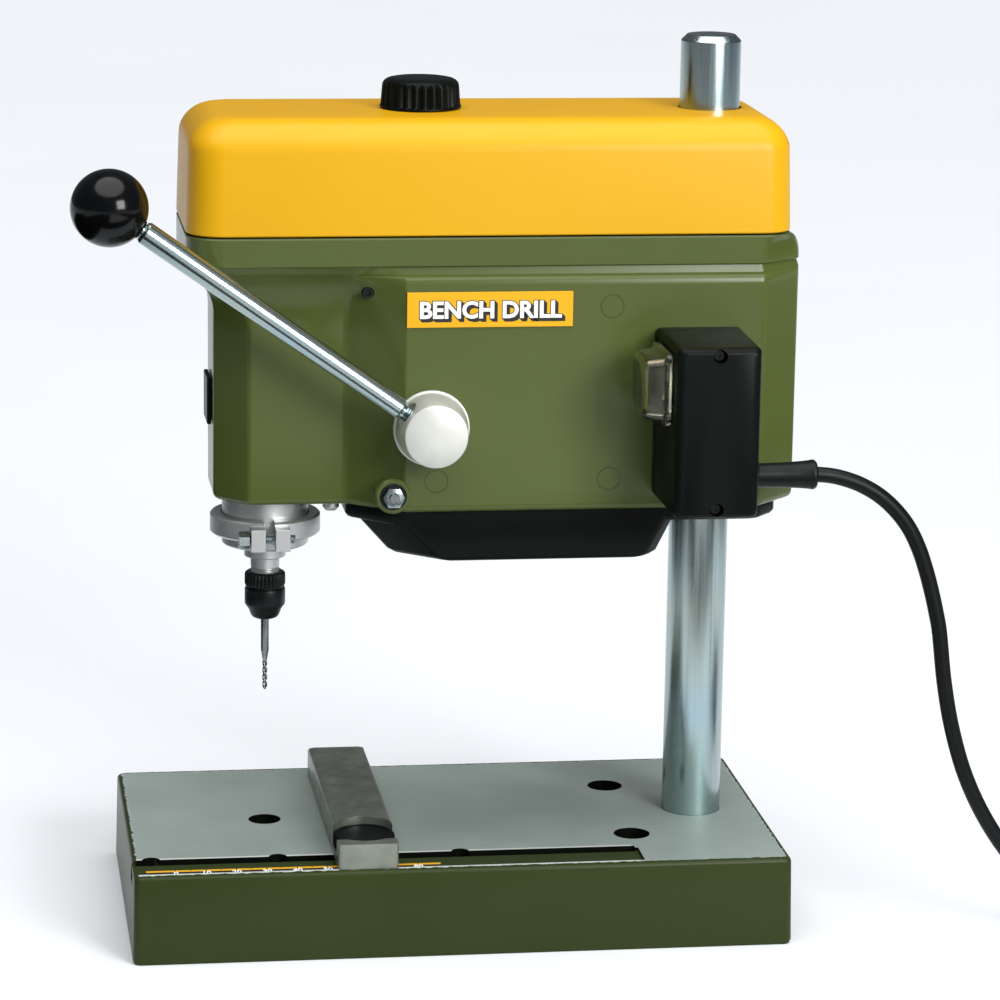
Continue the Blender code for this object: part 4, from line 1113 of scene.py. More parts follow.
    def fasteners(self, boss_x: float, boss_z: float) -> None:
        """Adds the bolt and nut on the boss, and the grub screw in the flare."""
        face = -39.0
        washer = [(4.4, 0.02), (4.4, 0.45), (4.2, 0.6), (2.0, 0.6), (2.0, 0.02)]
        ring = turned("boss_washer", washer, (boss_x, face, boss_z), (0, -1, 0), 48, ring=True)
        dress(ring, BLACK_OXIDE, Body.HEAD, "turned_steel")
        nut = hexagon("boss_nut", 3.6, 2.2, (boss_x, face - 0.6, boss_z), (0, -1, 0))
        dress(nut, BRIGHT_PLATE, Body.HEAD, "turned_steel", "clamp_bolt")
        thread = threaded("boss_stud", 1.8, 3.4, 0.7, (boss_x, face - 0.2, boss_z), (0, -1, 0))
        dress(thread, TOOL_STEEL, Body.HEAD, "turned_steel")
        grub = turned(
            "grub_screw", [(0, 0), (1.0, 0), (1.0, 0.9), (1.85, 0.9), (1.85, -3), (0, -3)],
            (-31.4, -31.2, 217.7), (0, -1, 0), 32
        )
        dress(grub, BLACK_OXIDE, Body.HEAD, "turned_steel")
        size = Extent.of("nose_screw")
        profile = [
            (0, -0.3), (2.2, -0.3), (2.75, -0.8), (2.75, -2.2), (1.9, -3.3), (0.9, -3.3), (0.9, -2.5),
            (0, -2.5)
        ]
        screw = turned(
            "nose_cap_screw", eased(profile, 0.15), (size.middle.x, size.middle.y, size.top + 0.3), steps=40
        )
        dress(screw, TURNED_STEEL, Body.HEAD, "turned_steel", "nose_screw")

    def plates(self) -> None:
        """Adds the printed plate on the panel and the small plate on the nose."""
        size = Extent.of("label_plate")
        plate = box("panel_label", (size.left, size.front, size.foot), (size.right, size.back, size.top))
        soften(plate, 0.15, 2)
        dress(plate, PRINT_YELLOW, Body.HEAD, "yellow_abs", "label_plate")
        # Plain words for what the machine is, in white with a black shadow.
        face = size.front - 0.03
        middle = (size.left + size.right) / 2
        layers = [(PRINT_BLACK, 0.5, 0.9 - 0.3 * step, 0.01 * step, f"shadow_{step}") for step in range(4)]
        layers.append((PRINT_WHITE, 0.26, 0.0, 0.06, "words"))
        for finish, swell, shift, lift, name in layers:
            words = lettering("BENCH DRILL", 7.6, swell, 0.03)
            turn = Matrix.Rotation(math.radians(90), 4, "X")
            words.transform(
                Matrix.Translation(Vector((middle + shift, face - lift, size.foot + 3.2 - shift)) * MM) @ turn
            )
            dress(link(f"label_{name}", words), finish, Body.HEAD, "yellow_abs")
        size = Extent.of("nose_plate")
        plate = box("nose_index_plate", (size.left, size.front, size.foot), (size.right, size.back, size.top))
        soften(plate, 0.5, 3)
        dress(plate, BLACK_ABS, Body.HEAD, "black_plastic", "nose_plate")


def lettering(text: str, high: float, swell: float, thick: float) -> bpy.types.Mesh:
    """Flat lettering round its own origin, lying on the XY plane.

    Args:
        text: what it says.
        high: the size of the type in millimetres.
        swell: how much bolder than the plain type it is, in millimetres.
        thick: half its thickness in millimetres.

    Returns:
        The mesh in metres.
    """
    curve = bpy.data.curves.new(text, "FONT")
    curve.body = text
    curve.size = high * MM
    curve.align_x = "CENTER"
    curve.offset = swell * MM
    curve.extrude = thick * MM
    curve.resolution_u = 3
    written = bpy.data.objects.new(text, curve)
    bpy.context.scene.collection.objects.link(written)
    bpy.context.view_layer.update()
    graph = bpy.context.evaluated_depsgraph_get()
    mesh = bpy.data.meshes.new_from_object(written.evaluated_get(graph))
    bpy.data.objects.remove(written, do_unlink=True)
    bpy.data.curves.remove(curve)
    mesh.materials.clear()
    return mesh


def hexagon(
    name: str, across: float, high: float, at: Sequence[float], axis: Sequence[float]
) -> bpy.types.Object:
    """A nut or bolt head with chamfered corners: a hexagon met by a cone.

    Args:
        name: the piece's name.
        across: the distance from the axis to a corner.
        high: its thickness.
        at: the middle of its lower face.
        axis: the direction that it stands in.

    Returns:
        The new object.
    """
    nut = turned(name, [(across, 0), (across, high)], at, axis, 6)
    flat = across * math.cos(math.pi / 6)
    cone = [(0, -1), (flat + 3, -1), (flat + 3, high - 1.6), (flat - 0.1, high + 0.01), (0, high + 0.01)]
    return combine(nut, [turned("cone", cone, at, axis, 48)], "INTERSECT")


def threaded(
    name: str, radius: float, high: float, pitch: float, at: Sequence[float], axis: Sequence[float]
) -> bpy.types.Object:
    """A stud with the ridges of a thread, as closed rings a pitch apart."""
    profile: Plan = [(0.0, 0.0)]
    for i in range(int(high / pitch)):
        profile += [(radius - pitch * 0.35, i * pitch), (radius, (i + 0.5) * pitch)]
    profile += [(radius - pitch * 0.5, high), (0, high)]
    return turned(name, profile, at, axis, 40)


@dataclass
class MotorTub:
    """The black cover under the motor."""

    half: float = 33.0
    wall: float = 2.0
    shallow: float = 140.0

    def outline(self, z: float, inset: float) -> Plan:
        """The deep part's plan, whose ends slant inwards as it goes down."""
        down = max(self.shallow + 5 - z, 0)
        left = -37.0 + down * 0.9 + inset
        right = 74.0 - down * 0.5 - inset
        y = self.half - inset
        half = [(left, 20.0 - inset), (left + 15, y), (right - 4, y), (right, y - 4)]
        radii = [3.0, 4.0, 3.0, 3.0]
        return eased_each(mirrored(half), radii + radii[::-1], 4)

    def shelf(self, inset: float) -> Plan:
        """The shallow part's plan, which runs back past the column."""
        size = Extent.of("bottom_cover")
        y = self.half - inset
        half = [(-37.0 + inset, 20.0 - inset), (-22.0, y), (size.right - 8, y), (size.right - inset, y - 8)]
        radii = [3.0, 4.0, 6.0, 6.0]
        return eased_each(mirrored(half), radii + radii[::-1], 4)

    def build(self) -> None:
        """Builds the tub with rounded lower edges and an open top."""
        size = Extent.of("bottom_cover")
        column = Extent.of("column")
        shelf_levels = (
            (self.shallow, 1.6), (self.shallow + 0.5, 0.7), (self.shallow + 1.6, 0), (size.top, 0)
        )
        tub = loft("motor_tub", [at_height(self.shelf(inset), z) for z, inset in shelf_levels])
        deep = [(size.foot, 2.4), (size.foot + 0.6, 1.1), (size.foot + 2.2, 0), (size.top - 1.5, 0)]
        weld(tub, loft("deep", [at_height(self.outline(z, inset), z) for z, inset in deep]))
        room = [(size.foot + self.wall, self.wall + 0.6), (size.top + 1, self.wall)]
        carve(
            tub,
            loft("room", [at_height(self.outline(z, inset), z) for z, inset in room]),
            bar("post_way", column.wide / 2 + 1, (column.middle.x, 0, self.shallow - 2),
            (column.middle.x, 0, size.top + 2), 64),
        )
        soften(tub, 0.4, 2, 45)
        dress(tub, BLACK_ABS, Body.HEAD, "black_plastic", "bottom_cover", angle=38)


@dataclass
class BeltCover:
    """The yellow lid with the black knob that holds it down."""

    left_r: float = 12.0
    right_r: float = 10.0
    wall: float = 2.4
    flutes: int = 26

    def outline(self, size: Extent, inset: float) -> Plan:
        """The lid's plan with its rounded corners, drawn in by an inset."""
        half = [(size.left + inset, size.back - inset), (size.right - inset, size.back - inset)]
        radii = [max(self.left_r - inset * 0.4, 4), max(self.right_r - inset * 0.3, 4)]
        return eased_each(mirrored(half), radii + radii[::-1], 10)

    def build(self) -> None:
        """Builds the lid and its knob."""
        size = Extent.of("belt_cover")
        column = Extent.of("column")
        knob = Extent.of("cover_knob")
        top = size.top
        # The top edge is a broad soft rounding, flatter in its middle.
        edge: Plan = [(0.35, size.foot), (0.0, size.foot + 0.4), (0.8, top - 10.4), (1.05, top - 8.6)]
        edge += [(1.6, top - 7.0), (2.6, top - 5.2), (4.0, top - 3.5), (5.6, top - 2.1), (7.3, top - 1.1)]
        edge += [(9.0, top - 0.45), (10.8, top - 0.1), (12.4, top)]
        lid = loft("belt_lid", [at_height(self.outline(size, inset), z) for inset, z in edge])
        inner: Plan = [
            (self.wall, size.foot - 1), (self.wall + 0.7, top - 9.6), (8.6, top - 3.4),
            (11.6, top - self.wall)
        ]
        carve(
            lid,
            loft("room", [at_height(self.outline(size, inset), z) for inset, z in inner]),
            bar("post_way", column.wide / 2 + 0.5, (column.middle.x, 0, top - 20),
            (column.middle.x, 0, top + 2), 96),
            bar("stud_way", 3.3, (knob.middle.x, 0, top - 8), (knob.middle.x, 0, top + 2), 32),
        )
        soften(lid, 0.35, 2, 60)
        dress(lid, YELLOW_ABS, Body.COVER, "yellow_abs", "belt_cover", angle=40)
        self.knob(knob)

    def knob(self, size: Extent) -> None:
        """Shapes the fluted knob, whose flutes run out in its domed top."""
        radius, high = size.wide / 2, size.high
        middle = size.middle
        rings = []
        for rise, inset, depth in (
            (0.0, 0.3, 0.0),
            (0.15, 0.0, 0.0),
            (0.7, 0.05, 0.0),
            (0.9, 0.3, 0.9),
            (1.4, 0.35, 1.0),
            (0.7 * high, 0.75, 1.0),
            (0.76 * high, 0.85, 0.8),
            (0.81 * high, 1.0, 0.35),
            (0.85 * high, 1.25, 0.05),
            (0.9 * high, 1.75, 0.0),
            (0.95 * high, 2.7, 0.0),
            (0.98 * high, 4.2, 0.0),
            (high, 6.5, 0.0),
        ):
            rings.append(knurled(middle, radius - inset, depth, self.flutes, size.foot + rise, 10))
        knob = loft("lid_knob", rings)
        at = (middle.x, middle.y)
        carve(knob, bar("bore", 2.9, (*at, size.foot - 1), (*at, size.foot + 6.3), 32))
        dress(knob, BLACK_ABS, Body.COVER_KNOB, "black_plastic", "cover_knob", angle=50)


@dataclass
class FeedLever:
    """The turned hub, the plated rod and the ball."""

    pivot: Point = (-11.0, -45.0, 173.9)
    rod_r: float = 3.8
    hub_end_r: float = 3.45

    def build(self) -> None:
        """Builds the three pieces along the lever's own line."""
        ball = Extent.of("ball_knob")
        pivot = Vector(self.pivot)
        along = (ball.middle - pivot).normalized()
        reach = (ball.middle - pivot).length
        hub = Extent.of("lever_hub")
        at = (self.pivot[0], hub.front, self.pivot[2])
        profile = [
            (0, 0), (9.8, 0), (10.2, -0.12), (10.4, -0.45), (11.95, -hub.deep + 1.6),
            (12.05, -hub.deep + 1.3),
            (12.45, -hub.deep + 1.2), (12.6, -hub.deep + 1.0), (12.6, -hub.deep), (5.1, -hub.deep),
            (5.1, -2.1), (0, -2.1),
        ]
        turned_hub = turned("lever_boss", profile, at, (0, -1, 0), 128)
        flat_seat = bar("seat", 4.3, pivot + along * 9.7, pivot + along * 15, 48)
        carve(turned_hub, bar("rod_way", 3.0, pivot + along * 5.6, pivot + along * 15, 32), flat_seat)
        soften(turned_hub, 0.2, 2, 50)
        dress(turned_hub, TURNED_ALUMINIUM, Body.LEVER, "aluminium", "lever_hub")
        neck: Plan = [(0, 6.2), (2.4, 6.2)]
        neck += [(2.7 - 0.32 * (i % 2), 6.6 + i * 0.42) for i in range(14)]
        tail = reach - ball.wide / 2
        rod = [
            *neck, (2.5, 13.0), (self.hub_end_r - 0.5, 13.2), (self.hub_end_r, 13.9), (self.rod_r, tail - 1.4)
        ]
        rod += [(self.rod_r - 0.5, tail - 0.6), (2.4, tail - 0.5), (2.4, reach - 8.2), (0, reach - 8.2)]
        shaft = turned("lever_bar", rod, pivot, along, 64)
        dress(shaft, ZINC_PLATE, Body.LEVER, "zinc_plate", "lever_rod")
        radius = ball.wide / 2
        arc = [(radius * math.sin(a), -radius * math.cos(a)) for a in (math.pi * i / 48 for i in range(49))]
        round_part = [(r, z) for r, z in arc if z > -radius * 0.975]
        profile = [
            (0, -radius + 4.4), (2.6, -radius + 4.4), (2.6, -radius * 0.985), (3.2, -radius * 0.992),
            *round_part[:-1], (0, radius)
        ]
        knob = turned("lever_ball", profile, ball.middle, along, 96)
        dress(knob, BLACK_PHENOLIC, Body.LEVER, "black_plastic", "ball_knob", angle=60)


@dataclass
class Quill:
    """The quill's visible end: sleeve, split collar, bolt, spindle nose, collet nut and drill."""

    x: float = -62.0

    def build(self) -> None:
        """Builds the pieces from the housing down to the drill's tip."""
        self.sleeve()
        self.collar()
        self.spindle()
        self.nut()
        self.drill()

    def sleeve(self) -> None:
        """Turns the sleeve, with the flat for its rack."""
        size = Extent.of("quill_sleeve")
        radius = size.wide / 2
        profile = [
            (radius - 0.4, size.high), (radius, size.high - 0.4), (radius, 0.6), (radius - 0.6, 0), (9.8, 0),
            (9.8, size.high)
        ]
        sleeve = turned("quill_tube", profile, (self.x, 0, size.foot), steps=96, ring=True)
        rack = Extent.of("quill_rack")
        carve(sleeve, box("seat", (rack.left - 0.15, -8, rack.foot - 0.3), (rack.right + 5, 8, size.top + 1)))
        dress(sleeve, TURNED_STEEL, Body.QUILL, "turned_steel", "quill_sleeve")

    def collar(self) -> None:
        """Shapes the split clamp collar, its two ears and the cross bolt."""
        size = Extent.of("clamp_collar")
        bolt = Extent.of("collar_bolt")
        radius = size.wide / 2
        foot, top = size.top - 7.0, size.top
        profile = [
            (radius - 0.7, top), (radius, top - 0.7), (radius, foot + 0.8), (radius - 0.8, foot),
            (14.8, foot), (14.8, top)
        ]
        collar = turned("split_collar", profile, (self.x, 0, 0), steps=96, ring=True)
        for side in (-1, 1):
            low, high = sorted((side * 1.65, side * 6.5))
            weld(
                collar, box("ear", (self.x + low, size.front, size.foot),
                (self.x + high, -16, size.foot + 7.5))
            )
        y, z = bolt.middle.y, bolt.middle.z
        carve(
            collar,
            box("split", (self.x - 1.65, size.front - 1, size.foot - 1), (self.x + 1.65, -12, top + 1)),
            bar("bolt_way", 1.7, (self.x - 8, y, z), (self.x + 8, y, z), 32),
        )
        soften(collar, 0.45, 3, 45)
        dress(collar, TURNED_STEEL, Body.QUILL, "turned_steel", "clamp_collar")
        head = hexagon("collar_bolt_head", 2.9, 3.5, (self.x - 6.95, y, z), (-1, 0, 0))
        dress(head, BRIGHT_PLATE, Body.QUILL, "turned_steel", "collar_bolt")
        shank = threaded("collar_bolt_shank", 1.5, 15.2, 0.5, (self.x - 6.9, y, z), (1, 0, 0))
        dress(shank, BRIGHT_PLATE, Body.QUILL, "turned_steel")

    def spindle(self) -> None:
        """Turns the spindle with its flange and threaded nose."""
        size = Extent.of("spindle_shaft")
        ridges: Plan = []
        for i in range(7):
            ridges += [(4.85, 119.2 - i * 0.8), (4.4, 118.8 - i * 0.8)]
        profile: Plan = [(0, size.top), (4.0, size.top), (4.0, 127.5), (6.2, 127), (6.8, 126.3), (7.0, 126)]
        profile += [(7.0, 123.2), (6.7, 122.9), (4.9, 122.4), (4.85, 119.6), *ridges]
        profile += [(4.4, 113.4), (4.2, 113), (3, 113), (3, 116), (0, 116)]
        shaft = turned("spindle_nose", profile, (self.x, 0, 0), steps=72)
        dress(shaft, TURNED_STEEL, Body.SPINDLE, "turned_steel", "spindle_shaft")

    def nut(self) -> None:
        """Shapes the collet nut: a coarse knurled band, a groove, and a plain tapered end."""
        size = Extent.of("collet_nut")
        middle, radius = size.middle, size.wide / 2
        rings = []
        for z, inset, depth in (
            (size.top, 0.8, 0.1),
            (size.top - 0.4, 0.2, 0.35),
            (size.top - 0.8, 0.0, 0.45),
            (113.2, 0.0, 0.45),
            (112.8, 0.2, 0.3),
            (112.6, 0.7, 0.0),
            (112.0, 0.7, 0.0),
            (111.8, 0.15, 0.0),
            (111.4, 0.0, 0.0),
            (106.6, 0.0, 0.0),
            (106.1, 0.2, 0.0),
            (104.6, 1.3, 0.0),
            (104.0, 1.5, 0.0),
            (102.6, 2.0, 0.0),
            (size.foot + 0.2, 2.6, 0.0),
            (size.foot, 3.0, 0.0),
        ):
            rings.append(knurled(middle, radius - inset, depth, 30, z, 6))
        nut = loft("collet_cap", rings)
        bore = [(3.1, size.foot - 1), (3.1, 112), (5.0, 112.4), (5.0, size.top + 1)]
        carve(nut, turned("bore", bore, (self.x, 0, 0), steps=48))
        dress(nut, BLACK_OXIDE, Body.NUT, "black_oxide_steel", "collet_nut", angle=40)
        collet = Extent.of("collet")
        profile = [(2.85, collet.top), (2.85, collet.foot), (1.5, collet.foot), (1.5, collet.top)]
        sleeve = turned("collet_sleeve", profile, (self.x, 0, 0), steps=48, ring=True)
        slits = [
            box("slit", (self.x - 3, -0.2, collet.foot - 1), (self.x + 3, 0.2, collet.top - 4)),
            box("slit", (self.x - 0.2, -3, collet.foot - 1), (self.x + 0.2, 3, collet.top - 4)),
        ]
        carve(sleeve, *slits)
        dress(sleeve, TOOL_STEEL, Body.SPINDLE, "turned_steel", "collet")

    def drill(self) -> None:
        """Twists the fluted end of the small drill below its stout shank."""
        size = Extent.of("drill_bit")
        shank, web = size.wide / 2, 0.82
        flutes_top = size.foot + 10.5
        rings = []
        count = 28
        levels = [
            (size.top, shank, 0.0), (flutes_top + 3.4, shank, 0.0), (flutes_top + 2.8, shank * 0.9, 0.0)
        ]
        levels += [(flutes_top + 0.6, web * 1.1, 0.0), (flutes_top, web, 0.15)]
        levels += [(flutes_top - i * 0.2, web, min(0.15 + i * 0.12, 1.0)) for i in range(1, 50)]
        levels += [(size.foot + 0.25, web * 0.55, 0.6), (size.foot, 0.03, 0.0)]
        for z, radius, cut in levels:
            twist = (flutes_top - z) * 1.25
            ring = []
            for k in range(count):
                angle = 2 * math.pi * k / count
                groove = max(0.0, 0.2 + 0.8 * math.cos(2 * (angle - twist)))
                reach = radius * (1 - 0.68 * cut * groove)
                ring.append((self.x + reach * math.cos(angle), reach * math.sin(angle), z))
            rings.append(ring)
        drill = loft("twist_drill", rings)
        dress(drill, TOOL_STEEL, Body.SPINDLE, "turned_steel", "drill_bit", angle=50)


@dataclass
class SwitchGear:
    """The black switch box with its clear splash cap, rocker, screws and strain relief."""

    wall: float = 2.2

    def build(self) -> None:
        """Builds the box, the cap and what is in them."""
        size = Extent.of("switch_box")
        hole = Extent.of("switch_body")
        self.case(size, hole)
        self.cap(Extent.of("switch_cap"))
        self.rocker(Extent.of("switch_rocker"))
        self.relief(Extent.of("strain_relief"))

    def case(self, size: Extent, hole: Extent) -> None:
        """Moulds the box, which widens a little towards the machine."""
        rings = []
        depth = size.deep
        for share, inset in ((0.0, 1.9), (0.012, 0.9), (0.045, 0.15), (0.08, 0.0), (1.0, 0.0)):
            y = size.front + depth * share
            grow = 0.7 * (1 - share)
            corners = rectangle(
                size.left + inset + grow, size.right - inset - grow, size.foot + inset, size.top - inset
            )
            rings.append([(x, y, z) for x, z in eased(corners, 2.0, 5, True)])
        case = loft("switch_case", rings)
        middle_x = size.middle.x
        room = box(
            "room",
            (size.left + self.wall, size.front + 7, size.foot + 6),
            (size.right - self.wall, size.back + 1, size.top - 6),
        )
        way = box(
            "way", (size.left - 2, hole.front - 0.4, hole.foot - 0.4),
            (size.left + 3, hole.back + 0.4, hole.top + 0.4)
        )
        # A parting line where the front shell meets the back one.
        seam_y = size.back - 5.0
        seam = loft("seam", [
            [(x, y, z) for x, z in eased(rectangle(size.left - 1, size.right + 1, size.foot - 1,
            size.top + 1), 1, 3, True)]
            for y in (seam_y, seam_y + 0.5)
        ])
        keep = loft("keep", [
            [(x, y, z) for x, z in eased(rectangle(size.left + 0.5, size.right - 0.5, size.foot + 0.5,
            size.top - 0.5), 1.5, 3, True)]
            for y in (seam_y - 1, seam_y + 2)
        ])
        carve(case, room, way, carve(seam, keep))
        for name in ("upper", "lower"):
            screw = Extent.of(f"switch_box_screw_{name}")
            at = (middle_x, size.front, screw.middle.z)
            seat = turned("seat", [(0, 1), (2.5, 1), (2.2, -0.4), (2.2, -4), (0, -4)], at, (0, -1, 0), 48)
            carve(case, seat)
            profile = [(0, 1.2), (1.6, 1.1), (1.9, 0.7), (1.9, 0), (0, 0)]
            head = turned(
                f"case_screw_{name}", profile, (middle_x, screw.back, screw.middle.z), (0, -1, 0), 40
            )
            cross = [
                box("cross", (middle_x - 1.1, screw.front - 2, screw.middle.z - 0.22),
                (middle_x + 1.1, screw.back - 0.5, screw.middle.z + 0.22)),
                box("cross", (middle_x - 0.22, screw.front - 2, screw.middle.z - 1.1),
                (middle_x + 0.22, screw.back - 0.5, screw.middle.z + 1.1)),
            ]
            carve(head, *cross)
            dress(head, BLACK_OXIDE, Body.HEAD, "turned_steel", f"switch_box_screw_{name}")
        dress(case, BLACK_ABS, Body.HEAD, "black_plastic", "switch_box", angle=38)

    def cap(self, size: Extent) -> None:
        """Moulds the thin clear cap over the rocker, with its flange and stepped crown."""

        def shell(inset: float, x: float, rounding: float) -> list[Point]:
            corners = rectangle(size.front + inset, size.back - inset, size.foot + inset, size.top - inset)
            return [(x, y, z) for y, z in eased(corners, rounding, 6, True)]

        right, left = size.right, size.left
        outer = [
            shell(0.0, right, 2.5), shell(0.0, right - 1.6, 2.5), shell(0.3, right - 2.0, 2.5),
            shell(1.4, right - 2.2, 2.4),
            shell(1.9, left + 1.6, 2.6), shell(2.4, left + 0.5, 2.6), shell(3.6, left, 2.6),
        ]
        inner = [
            shell(4.2, left + 1.2, 2.0), shell(3.2, left + 1.8, 2.0), shell(2.6, right - 1.0, 2.0),
            shell(1.6, right, 2.0)
        ]
        cap = loft("splash_cap", [*outer, *inner], hollow=True)
        bm = bmesh.new()
        bm.from_mesh(cap.data)
        bmesh.ops.recalc_face_normals(bm, faces=bm.faces)
        ends = len(outer[0])
        bm.verts.ensure_lookup_table()
        # The crown joins the last outer ring to the first inner one, so both are closed with faces instead.
        first, second = (len(outer) - 1) * ends, len(outer) * ends
        bridge = [f for f in bm.faces if {v.index < second for v in f.verts} == {True, False} and all(
            first <= v.index < second + ends for v in f.verts)]
        bmesh.ops.delete(bm, geom=bridge, context="FACES_ONLY")
        bm.verts.ensure_lookup_table()
        bm.faces.new([bm.verts[i] for i in range(first, second)])
        bm.faces.new([bm.verts[i] for i in range(second, second + ends)][::-1])
        bmesh.ops.recalc_face_normals(bm, faces=bm.faces)
        bm.to_mesh(cap.data)
        bm.free()
        dress(cap, CLEAR_VINYL, Body.HEAD, "clear_vinyl", "switch_cap", angle=45)

    def rocker(self, size: Extent) -> None:
        """Shapes the rocker with its dished face, and two plain on and off marks."""
        rings = []
        rows = 9
        for i in range(rows):
            z = size.foot + size.high * i / (rows - 1)
            share = 2 * i / (rows - 1) - 1
            face = size.left + (1 + share) * 0.9 + 0.9 * (1 - share * share)
            rings.append(
                at_height(eased(rectangle(face, size.right - 3.4 * abs(share), size.front, size.back), 0.5, 3,
                True), z)
            )
        rocker = loft("rocker", rings)
        soften(rocker, 0.4, 2, 50)
        dress(rocker, BLACK_PHENOLIC, Body.ROCKER, "black_plastic", "switch_rocker", angle=40)
        y, x = size.middle.y, size.left
        mark = turned(
            "off_mark", [(1.5, 0.12), (1.5, -0.1), (1.05, -0.1), (1.05, 0.12)], (x + 0.7, y, size.foot + 2.6),
            (-1, 0, 0.14), 32, ring=True
        )
        dress(mark, PRINT_WHITE, Body.ROCKER, "black_plastic")
        stroke = box("on_mark", (x + 1.55, y - 0.25, size.top - 4.0), (x + 1.95, y + 0.25, size.top - 1.2))
        dress(stroke, PRINT_WHITE, Body.ROCKER, "black_plastic")

    def relief(self, size: Extent) -> None:
        """Turns the rubber sleeve that the cord leaves by, which flares to its lip."""
        long = size.wide
        profile: Plan = [
            (0, long - 0.6), (2.9, long - 0.6), (3.3, long - 0.1), (4.3, long), (4.85, long - 0.7)
        ]
        profile += [(4.9, long - 1.4), (4.7, long - 2.4), (4.45, long - 5), (4.1, long - 11), (3.95, 2.6)]
        profile += [(3.95, 2.2), (4.6, 2.0), (4.6, 0.4), (4.4, 0), (0, 0)]
        at = (size.left, size.middle.y, size.middle.z)
        sleeve = turned("cord_sleeve", eased(profile, 0.15, 2), at, (1, 0, 0), 56)
        dress(sleeve, CORD_PVC, Body.HEAD, "rubber", "strain_relief", angle=40)


# The route's own points, from the strain relief to where it meets the coil, and how it drifts to the front.
CORD_ROUTE: Plan = [
    (113.6, 160.6), (118.2, 160.1), (122.9, 159.0), (128.7, 156.8), (134.8, 153.2), (140.3, 148.3),
    (145.0, 142.3),
    (148.6, 135.2), (151.3, 127.6), (153.3, 120.6), (154.9, 113.9), (156.3, 106.6), (158.4, 90.1),
    (161.6, 74.0),
    (166.8, 57.5), (174.5, 42.0), (184.5, 28.0), (196.5, 16.5), (210.0, 8.6), (224.0, 4.4), (238.0, 2.8),
]


